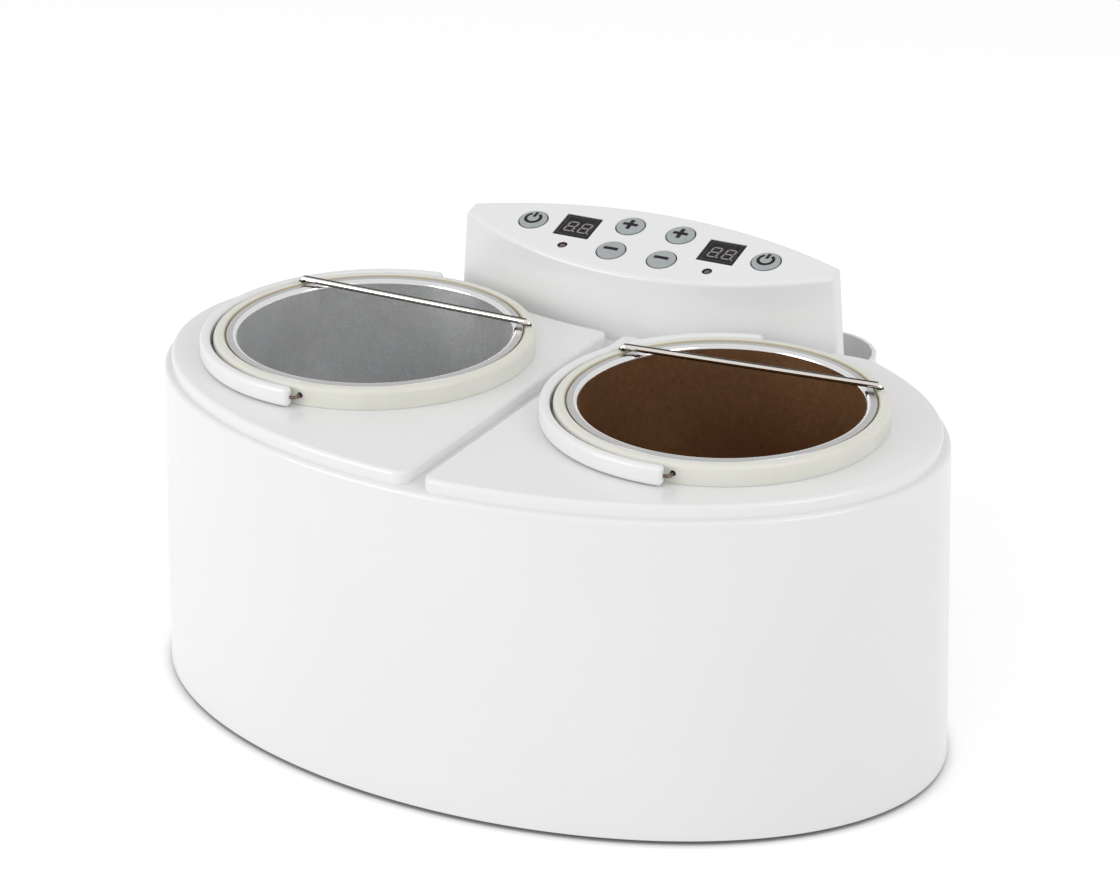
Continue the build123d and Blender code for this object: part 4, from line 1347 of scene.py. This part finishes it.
class WARMER_OT_collars(Operator):
    """Builds the ivory collars round the pots"""

    bl_idname = "warmer.collars"
    bl_label = "Collars"

    def execute(self, context):
        top = collar_high.z
        seat = plate_high.z
        ledge = collar_radius - COLLAR_WIDTH
        bore = ledge - COLLAR_LEDGE
        ledge_height = pot_high.z - LIP_THICKNESS
        skirt = bore + COLLAR_SKIRT_WALL
        profile = rounded([
            (bore, collar_low.z, THIN_EDGE), (skirt, collar_low.z, THIN_EDGE),
            (skirt, seat, 0), (collar_radius, seat, FINE_EDGE),
            (collar_radius, top, shape().collar_round), (ledge, top, COLLAR_INNER_ROUND),
            (ledge, ledge_height, 0), (bore, ledge_height, 0),
        ])
        for side in SIDES:
            skin = Skin()
            skin.turned(pot_place(side), profile, closed=True, steps=192)
            collar = skin.as_object(f"{side}_collar_surface")
            cutters = []
            for end in (-1, 1):
                hole = pot_place(side, hinge_height(side)) @ Matrix.Rotation(
                    -end * pi / 2, 4, "X")
                cutters.append(cutter(
                    hole, circle(PIN_RADIUS + PIN_HOLE_GAP, 32), collar_radius - PIN_IN_COLLAR,
                    collar_radius + CUT_OVER))
                foot = pot_place(side, top, BAR_TWIST) @ Matrix.Translation(
                    (end * BAR_HALF_LENGTH, BAR_OFFSET, 0))
                cutters.append(cutter(
                    foot, circle(BAR_RADIUS + BAR_HOLE_GAP, 40), -BAR_FOOT, CUT_OVER))
            combine(collar, cutters)
            finish_piece(
                collar, f"{side}_pot", [ivory_nylon(side)],
                [f"{side}_pot_collar"])
        return {"FINISHED"}


class WARMER_OT_bars(Operator):
    """Builds the bright bars across the pots"""

    bl_idname = "warmer.bars"
    bl_label = "Wiper bars"

    def execute(self, context):
        top = collar_high.z
        path = rounded([
            (-BAR_HALF_LENGTH, top - BAR_FOOT, 0), (-BAR_HALF_LENGTH, top + BAR_LIFT, BAR_BEND),
            (BAR_HALF_LENGTH, top + BAR_LIFT, BAR_BEND), (BAR_HALF_LENGTH, top - BAR_FOOT, 0),
        ], closed=False)
        for side in SIDES:
            place = pot_place(side, 0, BAR_TWIST)
            line = [place @ Vector((point.x, BAR_OFFSET, point.y)) for point in path]
            skin = Skin()
            skin.tube(line, place.to_3x3() @ Vector((0, 1, 0)), BAR_RADIUS)
            bar = skin.as_object(f"{side}_bar_rod")
            finish_piece(
                bar, f"{side}_pot", [chrome_painted_reflection()], [f"{side}_wiper_bar"])
        return {"FINISHED"}


class WARMER_OT_handles(Operator):
    """Builds the folding handles and the wires on which they turn"""

    bl_idname = "warmer.handles"
    bl_label = "Handles"

    def execute(self, context):
        round_size = shape().grip_round
        middle = collar_radius + GRIP_GAP + GRIP_THICKNESS / 2
        first, last = pi / 2 + GRIP_END, 3 * pi / 2 - GRIP_END
        end_steps, along_steps = 6, 96
        opening = []
        for step in range(end_steps):
            turn = pi / 2 * step / end_steps
            inset = GRIP_END_ROUND * (1 - sin(turn))
            opening.append((first + GRIP_END_ROUND * (1 - cos(turn)) / middle, inset))
        closing = [(first + last - angle, inset) for angle, inset in reversed(opening)]
        start = first + GRIP_END_ROUND / middle
        run = last - first - 2 * GRIP_END_ROUND / middle
        straight = [(start + run * step / along_steps, 0.0) for step in range(along_steps + 1)]
        for side in SIDES:
            rise = hinge_height(side)
            place = pot_place(side, rise)
            skin = Skin()
            loops = []
            for angle, inset in opening + straight + closing:
                outline = box_outline(
                    GRIP_THICKNESS / 2 - inset, GRIP_HEIGHT / 2 - inset,
                    max(THIN_EDGE, round_size - inset))
                out = Vector((cos(angle), sin(angle), 0))
                loops.append(skin.loop([
                    place @ (out * (middle + point.x) + UP * point.y) for point in outline]))
            skin.solid(loops)
            grip = skin.as_object(f"{side}_handle_grip")
            finish_piece(
                grip, f"{side}_handle", [glossy_white()], [f"{side}_handle"])
            wires = Skin()
            reach = middle * sin(GRIP_END) + PIN_IN_GRIP
            for end in (-1, 1):
                path = rounded([
                    (-reach, end * middle, 0), (0, end * middle, PIN_BEND),
                    (0, end * (collar_radius - PIN_IN_COLLAR), 0)], closed=False)
                line = [place @ Vector((point.x, point.y, 0)) for point in path]
                wires.tube(line, UP, PIN_RADIUS - PIN_WEAR, 20)
            pins = wires.as_object(f"{side}_handle_wires")
            finish_piece(
                pins, f"{side}_handle", [steel_wire()], [f"{side}_handle_pins"])
        return {"FINISHED"}


class WARMER_OT_strip_box(Operator):
    """Builds the rear box with its two pockets"""

    bl_idname = "warmer.strip_box"
    bl_label = "Rear box"

    def outline(self, inset):
        """Plan of the box before the shell's form is taken out of it."""
        middle = Vector((0, box_high.y - BOX_OUTLINE_DEPTH / 2))
        return [middle + point for point in box_outline(
            BOX_HALF_LENGTH - inset, BOX_OUTLINE_DEPTH / 2 - inset, BOX_CORNER - inset)]

    def pocket(self, low_x, high_x, floor):
        """The room of one pocket, with a rounded floor."""
        front = box_high.y - BOX_OUTLINE_DEPTH + BOX_WALL
        back = box_high.y - BOX_WALL
        corner = BOX_CORNER - BOX_WALL
        left_corner = corner if low_x < -BOX_HALF_LENGTH / 2 else POCKET_CORNER
        right_corner = corner if high_x > BOX_HALF_LENGTH / 2 else POCKET_CORNER
        plan = rounded([
            (low_x, front, POCKET_CORNER), (high_x, front, POCKET_CORNER),
            (high_x, back, right_corner), (low_x, back, left_corner)])
        skin = Skin()
        levels = rounded([
            (2 * POCKET_FLOOR_ROUND, floor, 0), (0, floor, POCKET_FLOOR_ROUND),
            (0, box_high.z, 0)], closed=False)
        loops = [skin.loop(flat(shrunk(plan, inset), height)) for inset, height in levels[1:]]
        loops.append(skin.loop(flat(plan, box_high.z + 10 * CUT_OVER)))
        skin.solid(loops)
        room = skin.as_object("pocket")
        return combine(room, [shell_block(BOX_GAP + BOX_WALL)])

    def screw_seats(self):
        """Round seats for the screw heads on the pockets' front wall."""
        seats = []
        for x, rise in BOX_SCREW_PLACES:
            height = box_low.z + rise
            lean = WALL_LEAN * (height - shell_low.z) / shell_height
            wall_x, wall_y = half_length - lean, half_depth - lean
            back = shell_y + wall_y * sqrt(1 - (x / wall_x) ** 2)
            place = facing_back(x, back + BOX_GAP + BOX_WALL + BOX_SEAT_RISE, height)
            seats.append(cutter(place, circle(BOX_SEAT_RADIUS, 64), -2 * BOX_WALL, 0.0))
        return seats

    def execute(self, context):
        round_size = shape().box_round
        low, high = box_low.z, box_high.z
        edge = rounded([
            (5 * BOX_FOOT_ROUND, low, 0), (0, low, BOX_FOOT_ROUND), (0, high, round_size),
            (2 * round_size, high, 0)], closed=False)
        skin = Skin()
        loops = [
            skin.loop(flat(self.outline(inset), height)) for inset, height in edge]
        skin.solid(loops)
        holder = skin.as_object("strip_box_surface")
        wall = BOX_HALF_LENGTH - BOX_WALL
        combine(holder, [
            self.pocket(-wall, DIVIDER_X - BOX_WALL / 2, low + BOX_WALL),
            self.pocket(DIVIDER_X + BOX_WALL / 2, wall, low + SMALL_POCKET_FLOOR),
        ])
        combine(holder, self.screw_seats(), "UNION")
        combine(holder, [shell_block(BOX_GAP)])
        finish_piece(holder, "base", [glossy_white()], ["strip_box"])
        return {"FINISHED"}


class WARMER_OT_inner_finishes(Operator):
    """Gives the CAD nodes that stay their finishes"""

    bl_idname = "warmer.inner_finishes"
    bl_label = "Inner parts"

    def execute(self, context):
        zinc = moulded("zinc_plate", (0.50, 0.50, 0.51), 0.3, 1.0)
        pressed = moulded("pressed_aluminium", (0.55, 0.56, 0.57), 0.34, 1.0)
        black = moulded("black_moulding", (0.018, 0.018, 0.019), 0.42)
        finishes = {
            "base_plate": black,
            "mains_inlet": black,
            "rubber_feet": moulded("foot_rubber", (0.025, 0.025, 0.025), 0.75),
            "control_board": circuit_board(),
            "power_board": circuit_board(),
            "button_switches": moulded("switch_case", (0.04, 0.04, 0.045), 0.5),
            "power_transformer": laminated_core(),
            "heater_relays": moulded("relay_case", (0.02, 0.06, 0.25), 0.25),
            "terminal_block": moulded("terminal_moulding", (0.05, 0.22, 0.08), 0.45),
            "inlet_contacts": moulded("plated_brass", (0.62, 0.52, 0.30), 0.25, 1.0),
        }
        for name in frame["nodes"]:
            if name.endswith("screws"):
                finishes[name] = zinc
            elif name.endswith("heating_well"):
                finishes[name] = pressed
            elif name.endswith("heater_band"):
                finishes[name] = moulded("heater_steel", (0.42, 0.39, 0.33), 0.36, 1.0)
            elif name.endswith("thermostat"):
                finishes[name] = moulded("phenolic", (0.03, 0.028, 0.026), 0.5)
        for name, node in frame["nodes"].items():
            if name in finishes:
                node.data.materials.clear()
                node.data.materials.append(finishes[name])
            elif not node.hide_render:
                raise RuntimeError(f"no finish for {name}")
        return {"FINISHED"}


class WARMER_OT_stage(Operator):
    """Builds the floor, the soft studio light and the camera"""

    bl_idname = "warmer.stage"
    bl_label = "Stage"

    def floor(self):
        """A wide pale floor that looks white, keeps the object's shadow and has painted shade near
        and under the object.
        """
        skin = Skin()
        skin.cap(skin.loop(flat(circle(FLOOR_RADIUS, 64), 0.0)))
        ground = skin.as_object("floor")
        material = bpy.data.materials.new("pale_floor")
        material.use_nodes = True
        nodes, links = material.node_tree.nodes, material.node_tree.links
        nodes.clear()
        bounce = add_node(nodes, "BsdfDiffuse", Color=(FLOOR_SHADE, FLOOR_SHADE, FLOOR_SHADE, 1))
        matt = add_node(nodes, "BsdfDiffuse")
        glow = add_node(nodes, "Emission", Strength=FLOOR_GLOW)
        rays = add_node(nodes, "LightPath")
        seen = add_node(nodes, "Math")
        seen.operation = "MAXIMUM"
        links.new(rays.outputs["Is Camera Ray"], seen.inputs[0])
        links.new(rays.outputs["Is Glossy Ray"], seen.inputs[1])
        # Painted shade: ambient occlusion darkens the floor's colour and glow near and under the
        # object.
        openness = add_node(nodes, "AmbientOcclusion", Distance=CONTACT_SHADE_REACH)
        openness.samples = 8
        contact_shade = add_node(nodes, "ValToRGB")
        for element, (position, shade) in zip(contact_shade.color_ramp.elements, CONTACT_SHADE_STOPS):
            element.position = position
            element.color = (shade, shade, shade, 1)
        links.new(openness.outputs["AO"], contact_shade.inputs["Fac"])
        links.new(contact_shade.outputs["Color"], matt.inputs["Color"])
        links.new(contact_shade.outputs["Color"], glow.inputs["Color"])
        both = add_node(nodes, "AddShader")
        links.new(matt.outputs["BSDF"], both.inputs[0])
        links.new(glow.outputs["Emission"], both.inputs[1])
        choice = add_node(nodes, "MixShader")
        links.new(seen.outputs["Value"], choice.inputs["Fac"])
        links.new(bounce.outputs["BSDF"], choice.inputs[1])
        links.new(both.outputs["Shader"], choice.inputs[2])
        output = add_node(nodes, "OutputMaterial")
        links.new(choice.outputs["Shader"], output.inputs["Surface"])
        ground.data.materials.append(material)

    def room(self, strength):
        """Even light from all round, and a white background."""
        world = bpy.data.worlds.new("room")
        world.use_nodes = True
        nodes, links = world.node_tree.nodes, world.node_tree.links
        nodes.clear()
        even = add_node(nodes, "Background", Strength=strength)
        white = add_node(nodes, "Background", Strength=1.0)
        rays = add_node(nodes, "LightPath")
        choice = add_node(nodes, "MixShader")
        output = add_node(nodes, "OutputWorld")
        links.new(rays.outputs["Is Camera Ray"], choice.inputs["Fac"])
        links.new(even.outputs["Background"], choice.inputs[1])
        links.new(white.outputs["Background"], choice.inputs[2])
        links.new(choice.outputs["Shader"], output.inputs["Surface"])
        bpy.context.scene.world = world

    def lamp(self, name, place, size, power):
        """A large soft lamp turned to the object."""
        data = bpy.data.lights.new(name, "AREA")
        data.shape = "DISK"
        data.size = size
        data.energy = power
        lamp = bpy.data.objects.new(name, data)
        lamp.location = place
        lamp.rotation_euler = (LAMP_AIM - Vector(place)).to_track_quat("-Z", "Y").to_euler()
        bpy.context.scene.collection.objects.link(lamp)

    def execute(self, context):
        settings = context.scene.warmer_stage
        self.floor()
        self.room(settings.sky)
        self.lamp("key", KEY_PLACE, KEY_SIZE, settings.key_power)
        self.lamp("fill", FILL_PLACE, FILL_SIZE, settings.fill_power)
        data = bpy.data.cameras.new("camera")
        data.lens = settings.lens
        data.sensor_width = 36.0
        data.clip_end = 50.0
        camera = bpy.data.objects.new("camera", data)
        turn = (
            Matrix.Rotation(settings.camera_heading, 3, "Z")
            @ Matrix.Rotation(pi / 2 - settings.camera_fall, 3, "X")
            @ Matrix.Rotation(settings.camera_roll, 3, "Z"))
        camera.matrix_world = turn.to_4x4()
        camera.location = CAMERA_PLACE
        context.scene.collection.objects.link(camera)
        context.scene.camera = camera
        context.scene.view_settings.view_transform = "Standard"
        return {"FINISHED"}


class WARMER_PT_panel(Panel):
    """Lists the pieces of the wax warmer"""

    bl_idname = "WARMER_PT_panel"
    bl_label = "Double wax warmer"
    bl_space_type = "VIEW_3D"
    bl_region_type = "UI"
    bl_category = "Wax warmer"

    def draw(self, context):
        column = self.layout.column()
        for group in (
            context.scene.warmer_shape, context.scene.warmer_finish, context.scene.warmer_stage,
        ):
            for name in group.__annotations__:
                column.prop(group, name)
        for operator in OPERATORS:
            column.operator(operator.bl_idname)


OPERATORS = (
    WARMER_OT_shell,
    WARMER_OT_top_plates,
    WARMER_OT_console,
    WARMER_OT_buttons,
    WARMER_OT_displays,
    WARMER_OT_lamps,
    WARMER_OT_pots,
    WARMER_OT_collars,
    WARMER_OT_bars,
    WARMER_OT_handles,
    WARMER_OT_strip_box,
    WARMER_OT_inner_finishes,
    WARMER_OT_stage,
)
CLASSES = (WarmerShape, WarmerFinish, WarmerStage, *OPERATORS, WARMER_PT_panel)


def register():
    """Registers the classes and hangs the settings on the scene."""
    for cls in CLASSES:
        bpy.utils.register_class(cls)
    bpy.types.Scene.warmer_shape = PointerProperty(type=WarmerShape)
    bpy.types.Scene.warmer_finish = PointerProperty(type=WarmerFinish)
    bpy.types.Scene.warmer_stage = PointerProperty(type=WarmerStage)


def unregister():
    """Takes the settings and the classes away again."""
    del bpy.types.Scene.warmer_stage
    del bpy.types.Scene.warmer_finish
    del bpy.types.Scene.warmer_shape
    for cls in reversed(CLASSES):
        bpy.utils.unregister_class(cls)


def main():
    """Builds every piece and the stage."""
    register()
    bpy.ops.warmer.shell()
    bpy.ops.warmer.top_plates()
    bpy.ops.warmer.console()
    bpy.ops.warmer.buttons()
    bpy.ops.warmer.displays()
    bpy.ops.warmer.lamps()
    bpy.ops.warmer.pots()
    bpy.ops.warmer.collars()
    bpy.ops.warmer.bars()
    bpy.ops.warmer.handles()
    bpy.ops.warmer.strip_box()
    bpy.ops.warmer.inner_finishes()
    bpy.ops.warmer.stage()
    bpy.context.view_layer.update()


if __name__ == "__main__":
    main()
